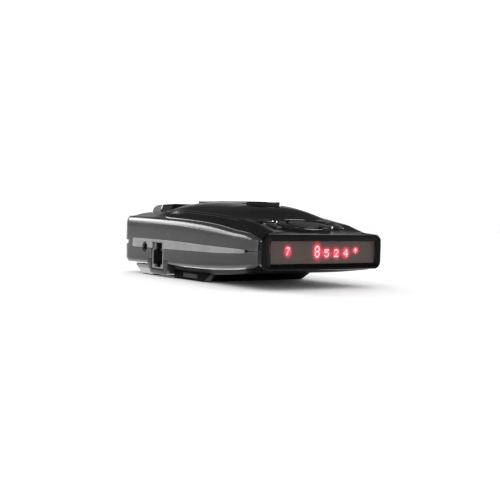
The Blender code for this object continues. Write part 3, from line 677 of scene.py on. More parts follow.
KEYS = key_outlines()
KEY_HOLES = [prism("key_hole", grown(outline, GAP), -9, 6, on_pod) for outline in KEYS.values()]
SLOT_HOLE = room("slot_hole", SLOT_HALF, SLOT_T, (SLOT_FLOOR, FAR))
JACK_POCKET = block("jack_pocket", (-FAR, JACK_T - JACK_BODY - GAP, JACK_Z[0] - GAP),
                    (JACK_BACK + GAP, JACK_T + JACK_BODY + GAP, JACK_Z[1] + GAP))
EAR_HOLE = prism("ear_hole", oval(2.75, 2.75, EAR_AT, count=40), -FAR, -30, on_side)
TRIM_RECESSES = []
TRIM_NOTCHES = []
for low_x, high_x, notch_low, notch_high in (
        (-FAR, TRIM_DEPTH - HALF_WIDTH, -FAR, NOTCH_DEPTH - HALF_WIDTH),
        (HALF_WIDTH - TRIM_DEPTH, FAR, HALF_WIDTH - NOTCH_DEPTH, FAR)):
    TRIM_RECESSES.append(prism("trim_recess", trim_outline(0), low_x, high_x, on_side))
    TRIM_NOTCHES.append(block("trim_notch", (notch_low, TRIM_T[0] - NOTCH_LENGTH, NOTCH_Z[0]),
                              (notch_high, TRIM_T[0] + 0.1, NOTCH_Z[1])))


def end_groove():
    """A cutter for the wide parting groove round the windshield end."""
    low, high = GROOVE_Z
    core = HALF_WIDTH - CORNER_RADIUS
    path = [((HALF_WIDTH, GROOVE_START), (1, 0))]
    for middle, start in ((core, 0), (-core, 90)):
        for a in np.radians(np.linspace(start, start + 90, 12)):
            x, t = math.cos(a), math.sin(a)
            path.append(((middle + CORNER_RADIUS * x, CORNER_START + CORNER_RADIUS * t), (x, t)))
    path.append(((-HALF_WIDTH, GROOVE_START), (-1, 0)))
    rings = []
    for (x, t), (out_x, out_t) in path:
        inner = (x - GROOVE_DEPTH * out_x, t - GROOVE_DEPTH * out_t)
        outer = (x + 2 * out_x, t + 2 * out_t)
        rings.append([at(*inner, low), at(*outer, low), at(*outer, high), at(*inner, high)])
    return loft("end_groove", rings, True)


END_GROOVE = end_groove()


# ---- housings and covers ----

def cover_half(t, inset):
    """Half the width of the cover's plan outline at t."""
    half = COVER_HALF - inset
    over = (t - COVER_STRAIGHT_END) / (COVER_END - inset - COVER_STRAIGHT_END)
    if over <= 0:
        return half
    return COVER_END_HALF + (half - COVER_END_HALF) * math.sqrt(1 - min(over, 1) ** 2)


def rim(grid):
    """The outer edge of a grid, all the way round."""
    return grid[0] + [row[-1] for row in grid[1:-1]] + grid[-1][::-1] + [row[0] for row in grid[-2:0:-1]]


def cover_sheet(name, inset, start, edge_round, top, bottom, cutter=False):
    """A sheet over the deck, within the cover's outline; top and bottom give heights from x and t."""
    far = COVER_END - inset - edge_round
    straight = np.linspace(start + edge_round, COVER_STRAIGHT_END, 84)
    curved = COVER_STRAIGHT_END + (far - COVER_STRAIGHT_END) * np.sin(np.linspace(0, math.pi / 2, 18)[1:])
    shares = np.r_[np.linspace(0, 0.78, 24), np.linspace(0.78, 0.92, 12)[1:], np.linspace(0.92, 1, 7)[1:]]
    shares = np.r_[-shares[:0:-1], shares]
    plan = []
    for t in [*straight, *curved]:
        half = cover_half(t, inset + edge_round)
        plan.append([(half * share, t) for share in shares])
    loop = rim(plan)
    bm = bmesh.new()

    def sheet(level):
        grid = [[bm.verts.new(at(x, t, level(x, t))) for x, t in row] for row in plan]
        for row, after in zip(grid, grid[1:]):
            for i in range(len(row) - 1):
                bm.faces.new((row[i], row[i + 1], after[i + 1], after[i]))
        return rim(grid)

    rows = [sheet(top)]
    if edge_round:
        for a in np.linspace(0, math.pi / 2, 5)[1:]:
            drop = edge_round * (1 - math.cos(a))
            outline = grown(loop, edge_round * math.sin(a))
            rows.append([bm.verts.new(at(x, t, top(*clamp_to_deck(x, t)) - drop)) for x, t in outline])
        outline = grown(loop, edge_round)
        rows.append([bm.verts.new(at(x, t, bottom(*clamp_to_deck(x, t)))) for x, t in outline])
    rows.append(sheet(bottom))
    bridge(bm, rows)
    return solid(name, bm, cutter)


def clamp_to_deck(x, t):
    return math.copysign(min(abs(x), COVER_HALF), x), t


def cover_floor(x, t):
    return deck_z(x, t) - COVER_THICKNESS - GAP


def upper_shell():
    obj = shell("upper_shell", upper_section, below=GAP / 2)
    hollow = shell("upper_hollow", upper_section, WALL, -2, start=HOLLOW_START, cutter=True)
    cover_room = cover_sheet("cover_room", 0, HOLLOW_START - 0.1, 0, lambda x, t: FAR, cover_floor, True)
    wall = room("slot_block", SLOT_HALF + 2.5, (SLOT_T[0] - 3, SLOT_T[1] + 3),
                (SLOT_FLOOR - 2, SLOT_BLOCK_TOP))
    latch_window = room("latch_window", LATCH_HALF, (SLOT_T[1] - 1, SLOT_T[1] + 4), LATCH_Z)
    button_hole = room("button_hole", BUTTON_HALF + GAP, (BUTTON_T[0] - GAP, BUTTON_T[1] + GAP), (0, FAR))
    lens_hole = room("lens_hole", LENS_HALF, (LENGTH - 5, LENGTH + 5), LENS_Z)
    carve(obj, cover_room, hollow)
    carve(obj, wall, operation="UNION")
    carve(obj, SLOT_HOLE, latch_window, button_hole, lens_hole, JACK_POCKET, EAR_HOLE, *TRIM_RECESSES,
          *TRIM_NOTCHES, END_GROOVE, *KEY_HOLES)
    return dress(obj, "case_grey", replaces=["upper_housing"])


def lower_shell():
    obj = shell("lower_shell", lower_section, below=-GAP / 2)
    hollow = shell("lower_hollow", lower_section, WALL, 2, start=HOLLOW_START, cutter=True)
    surround_room = prism("surround_room", SURROUND, -FAR, SURROUND_X[1] + GAP, on_side)
    carve(obj, hollow)
    for screw in CASE_SCREWS:
        carve(obj, peg("screw_post", POST_RADIUS, screw, -10, -0.6), operation="UNION")
        carve(obj, peg("screw_way", SCREW_RADIUS, screw, -9, 2),
              peg("counterbore", COUNTERBORE_RADIUS, screw, -20, -7))
    carve(obj, surround_room, peg("sound_room", SPEAKER_RADIUS, SPEAKER, -20, -5), JACK_POCKET, EAR_HOLE,
          *TRIM_RECESSES, *TRIM_NOTCHES, END_GROOVE)
    # The lower shell wears the case grey's darker copy, painted shade
    return dress(obj, "case_grey", replaces=["lower_housing"], look=SHADED_UNDER_LOOK)


def socket_surround():
    """The boss round the modular socket, with round corners and a finely rounded face."""
    face, back = SURROUND_X
    obj = stack("jack_surround", with_round_corners(SURROUND, (0.6, 1.0, 1.0, 0.7, 0.6)),
                [(0, back)] + rounded_edge(0.15, face, -1), on_side)
    carve(obj, JACK_POCKET)
    # The boss wears the case grey's darker copy, painted shade
    return dress(obj, "case_grey", replaces=["socket_surround"], look=SHADED_UNDER_LOOK)


def top_cover():
    obj = cover_sheet("gloss_cover", GAP, SHELL_START, COVER_EDGE_ROUND, deck_z,
                      lambda x, t: deck_z(x, t) - COVER_THICKNESS)
    carve(obj, SLOT_HOLE, *KEY_HOLES)
    return dress(obj, "cover_gloss", replaces=["top_cover"])


def mount_pad():
    outline = rounded(-PAD_HALF, PAD_HALF, PAD_START, COVER_END - GAP, 8, 16)
    profile = [(0, PAD_FOOT)] + rounded_edge(0.7, PAD_TOP, count=7)
    obj = stack("gloss_mount_pad", outline, profile, on_plan)
    carve(obj, SLOT_HOLE)
    return dress(obj, "cover_gloss")


def panel_outline(inset):
    """The finger panel's outline in t and z, smaller than its recess by the inset."""
    near, far = PANEL_T
    low, high = BELLY_Z
    return rounded(near + inset, far - inset, low + 0.9 + inset, high - 0.5 - inset, 1.0 - inset / 2)


def belly():
    """The shallow box under the case, lofted between its top and bottom outlines."""
    low, high = BELLY_Z

    def ring(inset, z, share):
        near, far = (top + (bottom - top) * share for top, bottom in zip(BELLY_TOP_T, BELLY_BOTTOM_T))
        outline = rounded(inset - BELLY_HALF, BELLY_HALF - inset, near + inset, far - inset,
                          1.0 - inset / 2, 6)
        return [at(x, t, z) for x, t in outline]

    rings = [ring(0, high, 0)]
    for inset, z in rounded_edge(0.5, low, -1):
        rings.append(ring(inset, z, (high - z) / (high - low)))
    obj = loft("belly_shell", rings)
    hollow = room("belly_room", 29.8, (57.5, 112), (low + 1.6, high + 1))
    boss_room = block("boss_room", (-FAR, 81.5, -30), (SURROUND_X[1] + GAP, 104.5, 0))
    label_room = room("label_room", 18, (98, 111), (-30, low + 0.5))
    panel_room = prism("panel_room", panel_outline(0), -FAR, 0.6 - BELLY_HALF, on_side)
    slots = []
    for i in range(-3, 4):
        x = SPEAKER[0] + i * 4.4
        reach = 13.5 - 0.9 * i**2
        outline = rounded(x - 0.9, x + 0.9, SPEAKER[1] - reach, SPEAKER[1] + reach, 0.85, 6)
        slots.append(prism("sound_slot", outline, -30, -15, on_plan))
    carve(obj, hollow, boss_room, label_room, panel_room, *slots)
    return dress(obj, "belly_black", replaces=["belly_cover"])


def belly_side_panel():
    """A shallow finger panel let into the belly's left side."""
    profile = [(inset, level - BELLY_HALF) for inset, level in ((0, 0.9), (0, 0.35), (0.25, 0.15))]
    obj = stack("belly_side_panel", panel_outline(0.2), profile, on_side)
    look = surface("belly_panel_look", grey(0.03), 0.5, grain=0.0004, specular=0.04)
    return dress(obj, "belly_black", look=look)


def belly_fairing():
    """The satin flank from the socket's boss to the belly's far end, leaning outwards at its top."""
    (low, high), far = BELLY_Z, BELLY_TOP_T[1] - 0.6
    near = SURROUND[3][0] - 1.0
    rings = []
    for t_low, t_high in ((near, near), (far - 3.6, far)):
        section = ((1, t_high, high + 1.2), (-2.4, t_high, high + 1.2), (-2.1, t_high, high + 0.4),
                   (-0.5, t_low, low + 0.4), (0.4, t_low, low + 0.1), (1, t_low, low + 0.1))
        rings.append([at(x - BELLY_HALF, t, z) for x, t, z in section])
    # The flank wears the case grey's darker copy, painted shade
    return dress(loft("belly_flank", rings), "case_grey", look=SHADED_UNDER_LOOK)


# A black sheet laid just over the lower housing's underside: painted shade
SHADE_SHEET_SKIN = 0.12
SHADE_SHEET_THICKNESS = 0.4
SHADE_SHEET_LINE = ((3.4, -6.0), (8, -7.5), (13, -8.3), (34, -10.1), (50, -10.9), (64, -11.05))
# The painted shade sheet's upper edge on each side: on the left it runs up to the socket's boss
SHADE_SHEET_LINES = {-1: SHADE_SHEET_LINE + ((74, -10.7), (81.7, -10.3)), 1: SHADE_SHEET_LINE + ((90, -12.0), (118.4, -13.0))}


def painted_shade_sheet():
    """A black skin under the case, painted shade, that carries the belly on to the bezel, up to the edge
    lines.
    """
    halves = []
    for side, line in SHADE_SHEET_LINES.items():
        rings = []
        for t in np.linspace(BEZEL_DEPTH + GAP, line[-1][0], 48):
            edge = height(line, t)
            points = np.array(lower_section(t, -SHADE_SHEET_SKIN)[1])
            first = np.interp(-edge, -points[:, 1], points[:, 0])
            below = points[points[:, 1] < edge - 0.01]
            outside = along([(first, edge), *below], np.linspace(0, 1, 40) ** 2)
            inside = [(max(x - SHADE_SHEET_THICKNESS, 0), z + SHADE_SHEET_THICKNESS) for x, z in outside[::-1]]
            rings.append([at(side * x, t, z) for x, z in outside + inside])
        halves.append(loft(f"shade_half_{side}", rings))
    return dress(merged("painted_shade_sheet", *halves), "belly_black")


BEAD_T = (26, 97)
BEAD_MEETING = 22
BEAD_TAPER = 6


def cover_beads():
    """Two fine raised lines along each crease of the cover, which meet at the windshield end."""
    section = ((-0.3, -0.2), (0.3, -0.2), (0.3, 0), (0.16, 0.14), (0, 0.18), (-0.16, 0.14), (-0.3, 0))
    beads = []
    for side in (-1, 1):
        for branch in (-0.6, 0.6):
            rings = []
            for t in np.linspace(*BEAD_T, 72):
                x = side * (CREASE_X + 0.1 + branch * np.clip((COVER_END - t) / BEAD_MEETING, 0, 1))
                taper = min(1, (t - BEAD_T[0] + 1) / BEAD_TAPER)
                rings.append([at(x + a * taper, t, deck_z(x, t) + b * taper) for a, b in section])
            beads.append(loft(f"bead_{side}_{branch}", rings))
    return dress(merged("cover_beads", *beads), "bezel_gloss", look=MATERIALS["cover_gloss"])


def side_trim(side):
    name = "left" if side < 0 else "right"
    base = side * (HALF_WIDTH - TRIM_DEPTH + GAP)
    profile = [(0, base)] + rounded_edge(0.2, side * (HALF_WIDTH - 0.05), side, 4)
    obj = stack(f"{name}_trim_strip", trim_outline(0.2), profile, on_side)
    if side < 0:
        carve(obj, block("socket_notch", (-FAR, JACK_T - 5.4, -10), (-30, JACK_T + 5.4, 0.6)), EAR_HOLE)
    return dress(obj, "trim_silver", replaces=[f"{name}_side_trim"])


def front_lens():
    outline = rounded(GAP - LENS_HALF, LENS_HALF - GAP, LENS_Z[0] + GAP, LENS_Z[1] - GAP, 1.0)
    profile = [(0, LENGTH - 2.4)] + rounded_edge(0.4, LENGTH - 0.25) + [(0.8, LENGTH - 0.22)]
    obj = stack("laser_lens", outline, profile, on_front)
    return dress(obj, "sensor_lens", replaces=["front_lens"])


# ---- display end ----

LAND_TOP = 6.5
LAND_BOTTOM = -7.2
BEZEL_FRONT_ROUND = 0.7
BEZEL_CORNER = 3.6
CORNER_COUNT = 12


def frame_ring(left, right, low, high, radius, t):
    """A rectangle with round corners, with as many points in each stretch as case_ring gives."""
    across = np.linspace(1, -1, 2 * DECK_COUNT)
    half = (right - left) / 2 - radius
    middle = (right + left) / 2
    up = np.linspace(0, high - radius, SIDE_COUNT + 1)[:-1]
    down = np.linspace(0, low + radius, SIDE_COUNT + 1)[:-1]

    def corner(x, z, start):
        return oval(radius, radius, (middle + x * half, z), start, start + 90, CORNER_COUNT)

    points = [(right, z) for z in up] + corner(1, high - radius, 0)[:-1]
    points += [(middle + half * s, high) for s in across] + corner(-1, high - radius, 90)[1:]
    points += [(left, z) for z in (*up[::-1], *down[1:])] + corner(-1, low + radius, 180)[:-1]
    points += [(middle - half * s, low) for s in across] + corner(1, low + radius, 270)[1:]
    points += [(right, z) for z in down[:0:-1]]
    return [at(x, t, z) for x, z in points]


def case_ring(t):
    """The housings' own outline at t, with the points that frame_ring gives."""
    upper = upper_section(t, 0)[1]
    lower = lower_section(t, 0)[1]

    def stretch(points, first, last, count):
        """Evenly spaced points along part of an outline."""
        return along(points[first:last], np.linspace(0, 1, count))

    turn = SIDE_COUNT - 1
    crown = turn + SHOULDER_COUNT + ROUND_COUNT - 2
    above = stretch(upper, 0, turn + 1, SIDE_COUNT + 1)[:-1]
    above += stretch(upper, turn, crown + 1, CORNER_COUNT)[:-1]
    above += stretch(upper, crown, len(upper), DECK_COUNT + 1)[:-1]
    under = stretch(lower, 0, turn + 1, SIDE_COUNT + 1)[1:-1]
    under += stretch(lower, turn, turn + SHOULDER_COUNT, CORNER_COUNT)[:-1]
    under += stretch(lower, turn + SHOULDER_COUNT - 1, len(lower), DECK_COUNT + 1)[:-1]
    left = [(-x, z) for x, z in above[::-1] + under]
    return [at(x, t, z) for x, z in above + left + under[::-1]]


def bezel():
    """The gloss frame: one closed loft from the case's section, over the land, into the window's pocket."""
    (left, right), (low, high) = WINDOW_X, WINDOW_Z

    def opening(grow, radius, t):
        """The window's outline, larger by the given amount."""
        return frame_ring(left - grow, right + grow, low - grow, high + grow, radius, t)

    back, front = case_ring(BEZEL_DEPTH), outer_ring(0, BEZEL_FRONT_ROUND)
    rings = [back]
    for share in (0.66, 0.4):
        rings.append([a.lerp(b, share) for a, b in zip(front, back)])
    for inset, t in rounded_edge(BEZEL_FRONT_ROUND, 0, -1, 6):
        rings.append(outer_ring(inset, t))
    flange = WINDOW_FLANGE + GAP
    rings += [
        frame_ring(left - 1.5, right + 1.5, LAND_BOTTOM, LAND_TOP, 1.3, 0),
        frame_ring(left - 1.4, right + 1.4, LAND_BOTTOM + 0.1, LAND_TOP - 0.1, 1.2, 0.06),
        opening(0.1, 0.5, 0.72),
        opening(0, 0.45, BEZEL_LIP),
        opening(flange, 1.0, BEZEL_LIP),
        opening(flange, 1.0, BEZEL_DEPTH),
    ]
    obj = loft("gloss_bezel", rings, closed=True)
    return dress(obj, "bezel_gloss", replaces=["display_bezel"])


def outer_ring(inset, t):
    return frame_ring(inset - HALF_WIDTH, HALF_WIDTH - inset, BEZEL_Z[0] + inset, BEZEL_Z[1] - inset,
                      BEZEL_CORNER - inset, t)


def window():
    (left, right), (low, high) = WINDOW_X, WINDOW_Z
    flange = WINDOW_FLANGE
    outline = rounded(left - flange, right + flange, low - flange, high + flange, 0.9)
    first = BEZEL_LIP + 0.1
    profile = [(0, WINDOW_BACK), (0, first + 0.1), (0.1, first)]
    obj = stack("smoked_window", outline, profile, on_front)
    return dress(obj, "display_lens", replaces=["display_window"])


DIGITS = {
    "7": ("#####", "....#", "...#.", "..#..", "..#..", ".#...", ".#..."),
    "8": (".###.", "#...#", "#...#", ".###.", "#...#", "#...#", ".###."),
    "5": ("#####", "#....", "####.", "....#", "....#", "#...#", ".###."),
    "2": (".###.", "#...#", "....#", "...#.", "..#..", ".#...", "#####"),
    "4": ("...#.", "..##.", ".#.#.", "#..#.", "#####", "...#.", "...#."),
    "up": ("..#..", ".###.", "#.#.#", "..#..", "..#.."),
}
# Each lit sign: its pattern, the x of its middle, the z of its foot, its width and its height
SIGNS = (("7", -19.6, -1.5, 2.3, 3.6), ("8", -2.2, -2.6, 2.9, 5.4), ("5", 3.5, -2.5, 2.7, 3.6),
         ("2", 9.5, -2.5, 2.7, 3.6), ("4", 15.5, -2.5, 2.7, 3.6), ("up", 21.6, -0.6, 2.2, 2.3))
SIGN_T = 2.85
# The glow round a sign, as shares of the sign's width and height, and how fast it fades
GLOW_WIDTH = 1.3
GLOW_HEIGHT = 1.05
GLOW_END = 1.3
GLOW_POWER = 1.6


def lit_signs():
    """Lit digits and an arrow, each made of flat round-cornered dots."""
    bm = bmesh.new()
    for pattern, middle, foot, width, tall in SIGNS:
        rows = DIGITS[pattern]
        pitch_x, pitch_z = width / 5, tall / len(rows)
        for i, row in enumerate(rows):
            for j, mark in enumerate(row):
                x = middle + (j - 2) * pitch_x
                if mark == "#":
                    dot(bm, x, foot + (len(rows) - 0.5 - i) * pitch_z, pitch_x, pitch_z)
    look, tree, shader, coordinates = new_material("lit_sign_look")
    uneven = spread(tree, noise(tree, coordinates, 0.0008), 0, 1)
    set_inputs(tree, shader, {
        "Emission Color": mix(tree, uneven, (1.0, 0.2, 0.25), (1.0, 0.3, 0.34)),
        "Emission Strength": 14.0, "Base Color": (0.6, 0.05, 0.06, 1)})
    return dress(solid("lit_signs", bm), "display_lens", look=look)


def dot(bm, x, z, pitch_x, pitch_z):
    """One lit dot, a low pillow on the sheet behind the window."""
    half_x, half_z = pitch_x * 0.44, pitch_z * 0.42
    outline = rounded(x - half_x, x + half_x, z - half_z, z + half_z, 0.18, 4)
    rows = []
    for inset, t in ((0, SIGN_T), (0, SIGN_T - 0.06), (0.06, SIGN_T - 0.12)):
        loop = grown(outline, -inset) if inset else outline
        rows.append([bm.verts.new(at(a, t, b)) for a, b in loop])
    bridge(bm, rows)
    bm.faces.new(rows[0])
    bm.faces.new(rows[-1])


def glow_sheet():
    """The grey sheet behind the window, which glows red round the lit signs."""
    (left, right), (low, high) = WINDOW_X, WINDOW_Z
    outline = rounded(left - 0.8, right + 0.8, low - 0.8, high + 0.8, 0.8)
    obj = stack("display_sheet", outline, [(0, SIGN_T + 0.3), (0, SIGN_T + 0.05), (0.05, SIGN_T)], on_front)
    look = surface("display_sheet_look", (0.4, 0.29, 0.26), 0.6, vary=0.06)
    tree = look.node_tree
    coordinates = tree.nodes.new("ShaderNodeTexCoord").outputs["Object"]
    total = 0.0
    for _, middle, foot, width, tall in SIGNS:
        centre = at(middle, SIGN_T, foot + tall / 2)
        reach = (1 / (width * GLOW_WIDTH * MM), 0, 1 / (tall * GLOW_HEIGHT * MM))
        away = add_node(tree, "VectorMath", {0: coordinates, 1: centre}, operation="SUBTRACT")
        shaped = add_node(tree, "VectorMath", {0: away.outputs[0], 1: reach}, operation="MULTIPLY")
        length = add_node(tree, "VectorMath", {0: shaped.outputs[0]}, operation="LENGTH")
        fade = map_range(tree, length.outputs["Value"], 0, GLOW_END, 1, 0, "SMOOTHERSTEP")
        total = add_node(tree, "Math", {0: total, 1: fade}, operation="ADD").outputs["Value"]
    sharpened = add_node(tree, "Math", {0: total, 1: GLOW_POWER}, operation="POWER").outputs["Value"]
    # Painted glow: the sheet gives out a faint warm light all over, rising to red round each sign
    glow = mix(tree, sharpened, (0.008, 0.005, 0.0045), (1.0, 0.03, 0.07))
    set_inputs(tree, tree.nodes["Principled BSDF"], {"Emission Color": glow, "Emission Strength": 4.5})
    return dress(obj, "display_lens", look=look)


# ---- keypad ----

def keypad():
    for name, outline in KEYS.items():
        profile = [(0, KEY_BOTTOM)] + rounded_edge(0.3, KEY_TOP)
        if name == "button_mute":
            profile += [(0.9, KEY_TOP + 0.08), (1.8, KEY_TOP + 0.12)]
        else:
            outline = softened(outline)
        cap = stack(name.replace("button", "key_cap"), outline, profile, on_pod)
        dress(cap, "key_black", body=name, replaces=[name])


def softened(outline):
    """The outline of a curved key, with its four corners drawn in a little."""
    points = [Vector(p) for p in outline]
    count = len(points)
    half = count // 2
    result = []
    for i, point in enumerate(points):
        if i in (0, half - 1, half, count - 1):
            inside = points[i + 1] if i in (0, half) else points[i - 1]
            across = points[(i - 1) % count] if i in (0, half) else points[(i + 1) % count]
            side = (across - point).normalized() * 0.35
            result.append(tuple(point + side + (inside - point).normalized() * 0.1))
        else:
            result.append(tuple(point))
    return result


def keypad_ring():
    """The oval ring: a closed loft whose section is a low rounded bar."""
    middle = ((RING_OUTER[0] + RING_INNER[0]) / 2, (RING_OUTER[1] + RING_INNER[1]) / 2)
    half = (RING_OUTER[0] - RING_INNER[0]) / 2
    section = [(-half, -0.3), (half, -0.3), (half, 0.35)]
    section += [(half * math.cos(a), 0.35 + 0.55 * math.sin(a)) for a in np.linspace(0, math.pi, 11)[1:-1]]
    section += [(-half, 0.35)]
    rings = [[on_pod(x, y, level) for x, y in oval(middle[0] + out, middle[1] + out, count=120)]
             for out, level in section]
    return dress(loft("keypad_ring", rings, closed=True), "bezel_gloss", replaces=["button_ring"],
                 look=MATERIALS["cover_gloss"])


# ---- mount catch ----

def hump_section(t, half, base, top, slope, radius):
    """A low trapezium across the case, with round top corners."""
    corners = ((half, base), (half - slope, top), (slope - half, top), (-half, base))
    corners = [Vector(corner) for corner in corners]
    points = [corners[0]]
    for neighbours in zip(corners, corners[1:], corners[2:]):
        points += rounded_corner(*neighbours, radius, 7)
    points.append(corners[3])
    return [at(x, t, z) for x, z in points]


def mount_hump():
    near, far = HUMP_T
    rings = []
    for a in np.linspace(0, math.pi / 2, 7):
        back = 1 - math.sin(a)
        rings.append(hump_section(near + 2 * (1 - math.cos(a)), HUMP_HALF - back, HUMP_BASE,
                                  HUMP_TOP - 1.6 * back, HUMP_SLOPE, HUMP_ROUND))
    for share in np.linspace(0.2, 1, 6):
        t = near + 2 + (far - near - 2) * share
        drop = 0.4 * share + (0.25 if share == 1 else 0)
        rings.append(hump_section(t, HUMP_HALF, HUMP_BASE, HUMP_TOP - drop, HUMP_SLOPE, HUMP_ROUND))
    obj = loft("mount_hump", rings)
    carve(obj, shell("hump_floor", upper_section, -0.12, -2, start=80, cutter=True))
    look = surface("hump_look", grey(0.005), 0.55, specular=0.02)
    return dress(obj, "cover_gloss", replaces=["mount_housing"], look=look)


def release_button():
    """The thumb piece, with rounded ribs right across it and down its ends."""
    (near, far), (base, top) = BUTTON_T, BUTTON_Z
    rings = []
    for t in np.linspace(near, far, 71):
        share = (t - near) / (far - near)
        fall = 0.8 * share + 1.2 * max(0, (share - 0.71) / 0.29) ** 1.6
        rib = 0.0
        if RIBS_FROM < share < RIBS_TO:
            rib = 0.5 - 0.5 * math.cos(2 * math.pi * (share - RIBS_FROM) / RIB_PITCH)
        rings.append(hump_section(t, BUTTON_HALF - 0.55 * rib, base, top - fall - 0.75 * rib,
                                  BUTTON_SLOPE, 1.0))
    obj = loft("release_thumb_piece", rings)
    carve(obj, peg("spring_pocket", 2.9, SPRING_AT, 5, base + 2.2, count=32))
    # Painted highlight: the thumb piece is a mid grey, lighter than the black hump, for the light its ribs
    # catch
    look = surface("thumb_piece_painted_highlight_look", grey(0.15), 0.28, worn=grey(0.25), specular=0.8)
    return dress(obj, "key_black", body="mount_release_button", replaces=["mount_release_button"],
                 look=look)


# ---- sockets ----

SOCKET_ROOM = []
for low_z, high_z, room_half in ((*JACK_MOUTH_Z, JACK_MOUTH_HALF),
                                 (JACK_MOUTH_Z[1] - 0.5, JACK_KEYWAY_TOP, JACK_KEYWAY_HALF)):
    SOCKET_ROOM.append(block("socket_room", (-FAR, JACK_T - room_half, low_z),
                             (JACK_MOUTH_BACK, JACK_T + room_half, high_z)))


def modular_socket():
    low, high = JACK_Z
    near, far = JACK_T - JACK_BODY, JACK_T + JACK_BODY
    outline = rounded(near, far, low, high, 0.4, 4)
    obj = stack("modular_socket", outline, [(0, JACK_BACK), (0, -34.6)], on_side)
    nose = stack("socket_nose", rounded(near, far, low, JACK_NOSE_TOP, 0.4, 4),
                 [(0, -34.0), (0, JACK_FACE + 0.25), (0.25, JACK_FACE)], on_side, True)
    carve(obj, nose, operation="UNION")
    carve(obj, *SOCKET_ROOM)
    return dress(obj, "socket_black", replaces=["modular_jack_socket"])


def socket_frame():
    """The socket's front rim, coloured paler than the socket as a painted highlight, with a small block in
    each bottom corner of the mouth.
    """
    near, far = JACK_T - JACK_BODY + 0.45, JACK_T + JACK_BODY - 0.45
    low, high = JACK_Z
    obj = stack("socket_frame", rounded(near, far, low + 0.35, JACK_NOSE_TOP, 0.3, 4),
                [(0, -35.3), (0, -35.62)], on_side)
    upper = prism("frame_top", rounded(near, far, JACK_NOSE_TOP - 0.4, high - 0.1, 0.3, 4),
                  -34.4, -34.95, on_side)
    carve(obj, upper, operation="UNION")
    carve(obj, *SOCKET_ROOM)
    posts = [block("corner_post", (-35.55, t - 0.85, -12.6), (-34.0, t + 0.85, -11.1))
             for t in (JACK_T - 4.0, JACK_T + 4.0)]
    carve(obj, *posts, operation="UNION")
    # Painted highlight: the rim and its corner blocks are a paler grey than the black socket
    return dress(obj, "socket_black", look=surface("socket_rim_painted_highlight_look", grey(0.16), 0.35))


def socket_contacts():
    """Six spring wires that slope down through the socket's mouth."""
    wires = []
    for i in range(6):
        t = JACK_T + (i - 2.5) * 1.27
        path = [(-23.0, -11.9), (-30.5, -11.6), (-32.4, -11.0), (-29.0, -8.6), (-25.0, -6.6)]
        rings = []
        for j, (x, z) in enumerate(path):
            before, after = Vector(path[max(j - 1, 0)]), Vector(path[min(j + 1, len(path) - 1)])
            ahead = (after - before).normalized() * 0.16
            rings.append([at(x - side * ahead.y, t + edge, z + side * ahead.x)
                          for side, edge in ((1, -0.2), (1, 0.2), (-1, 0.2), (-1, -0.2))])
        wires.append(loft(f"wire_{i}", rings))
    look = surface("contact_gold_look", (0.75, 0.52, 0.22), 0.25, 1.0)
    return dress(merged("socket_contacts", *wires), "tinned_steel", look=look)


def earphone_socket():
    """A turned collar with a bore down its middle."""
    profile = [(3.0, -22.5), (3.0, -33.0), (2.4, -33.0), (2.4, -35.4), (2.2, -35.6), (1.95, -35.6),
               (1.8, -35.4), (1.8, -24.0), (0.05, -24.0), (0.05, -22.5)]
    rings = [[on_side(a, b, x) for a, b in oval(radius, radius, EAR_AT, count=40)]
             for radius, x in profile]
    obj = loft("earphone_socket", rings, closed=True)
    return dress(obj, "socket_black", replaces=["earphone_jack_socket"])


# ---- carried-over CAD parts ----

CARRIED = {
    "label_foil": ("rating_label",),
    "circuit_board": ("display_circuit_board", "keypad_board", "main_circuit_board"),
    "component_black": ("led_matrix_module", "rear_laser_sensor", "display_header", "processor_chip",
                        "memory_chip", "receiver_chip", "input_capacitor", "output_capacitor",
                        "front_laser_sensor", "speaker_frame"),
    "silicone": ("keypad_membrane",),
    "steel": ("mount_latch", "release_button_spring", "board_screw_left", "board_screw_right",
              "board_screw_near", "speaker_magnet", "case_screw_1", "case_screw_2", "case_screw_3",
              "case_screw_4"),
    "tinned_steel": ("rf_shield_can",),
    "ceramic": ("gps_patch_antenna",),
    "cast_horn": ("horn_antenna",),
    "speaker_paper": ("speaker_cone",),
}


def carried_over():
    for look, nodes in CARRIED.items():
        for node in nodes:
            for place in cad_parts[node].material_slots:
                place.material = MATERIALS[look]


# ---- camera, floor and lights ----

LENS = 65.4
HEADING = math.radians(35.8)
PITCH = math.atan(0.0438)
ROLL = math.atan(0.0263)
CAMERA_AT = Vector((-0.2745, -0.3882, 0.036))


def add_camera():
    """The camera looks along the heading, a little down, and is rolled a little."""
    level = Vector((math.sin(HEADING), math.cos(HEADING), 0))
    across = Vector((math.cos(HEADING), -math.sin(HEADING), 0))
    ahead = level * math.cos(PITCH) - Vector((0, 0, math.sin(PITCH)))
    up = level * math.sin(PITCH) + Vector((0, 0, math.cos(PITCH)))
    up = up * math.cos(ROLL) - across * math.sin(ROLL)
    right = ahead.cross(up)
    camera = bpy.data.objects.new("camera", bpy.data.cameras.new("camera"))
    camera.data.sensor_width = 36
    camera.data.lens = LENS
    camera.data.clip_start = 0.01
    turn = Matrix((right, up, -ahead)).transposed().to_4x4()
    camera.matrix_world = Matrix.Translation(CAMERA_AT) @ turn
    bpy.context.scene.collection.objects.link(camera)
    bpy.context.scene.camera = camera


def add_floor():
    """A wide pale floor."""
    bm = bmesh.new()
    bm.faces.new([bm.verts.new((x, y, 0)) for x, y in ((-6, -6), (6, -6), (6, 6), (-6, 6))])
    floor = solid("floor", bm)
    look = surface("floor_look", grey(0.86), 0.9, vary=0.01, grain=0.01, depth=0.0, specular=0.1)
    floor.data.materials.append(look)


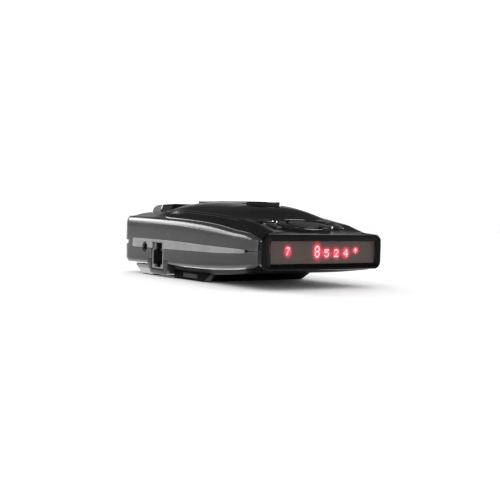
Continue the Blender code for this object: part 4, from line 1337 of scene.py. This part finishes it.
def area_light(name, place, target, size, power, glossy_only=False):
    light = bpy.data.lights.new(name, "AREA")
    light.shape = "RECTANGLE"
    light.size, light.size_y = size
    light.energy = power
    obj = bpy.data.objects.new(name, light)
    direction = Vector(target) - Vector(place)
    obj.matrix_world = Matrix.Translation(place) @ direction.to_track_quat("-Z", "Y").to_matrix().to_4x4()
    obj.visible_camera = False
    obj.visible_diffuse = not glossy_only
    bpy.context.scene.collection.objects.link(obj)


def add_world():
    """A white studio. Gloss reflects a dimmer one, which darkens upwards, so that black stays black."""
    world = bpy.data.worlds.new("studio")
    world.use_nodes = True
    tree = world.node_tree
    coordinates = tree.nodes.new("ShaderNodeTexCoord").outputs["Generated"]
    rise = add_node(tree, "SeparateXYZ", {0: coordinates}).outputs["Z"]
    reflected = mix(tree, map_range(tree, rise, 0.18, 0.4), grey(0.35), grey(0.06))
    glossy = tree.nodes.new("ShaderNodeLightPath").outputs["Is Glossy Ray"]
    colour = mix(tree, glossy, grey(1.0), reflected)
    set_inputs(tree, tree.nodes["Background"], {"Color": colour, "Strength": 1.2})
    scene = bpy.context.scene
    scene.world = world
    scene.view_settings.view_transform = "Standard"


def add_light():
    """A soft box behind for the shoulders, two lit strips of table at the left, and two small accents."""
    add_world()
    area_light("edge_box", (-0.22, 0.52, 0.25), (-0.03, 0.02, 0.02), (0.34, 0.22), 2)
    area_light("table_strip", (-0.0316, 0.033, 0.0005), (-0.0316, 0.033, 1), (0.009, 0.15), 0.02, True)
    area_light("table_glow", (-0.0411, 0.033, 0.0005), (-0.0411, 0.033, 1), (0.01, 0.15), 0.0075, True)
    area_light("top_box", (0.35, -0.09, 0.48), (0, 0, 0.02), (0.2, 0.16), 1.6, True)
    area_light("right_box", (0.556, 0.225, 0.1), (0, 0, 0.02), (0.1, 0.22), 2.5, True)


upper_shell()
lower_shell()
socket_surround()
top_cover()
mount_pad()
belly()
belly_side_panel()
belly_fairing()
painted_shade_sheet()
cover_beads()
side_trim(-1)
side_trim(1)
front_lens()
bezel()
window()
lit_signs()
glow_sheet()
keypad()
keypad_ring()
mount_hump()
release_button()
modular_socket()
socket_frame()
socket_contacts()
earphone_socket()
carried_over()
for tool in CUTTERS:
    bpy.data.objects.remove(tool)
add_camera()
add_floor()
add_light()
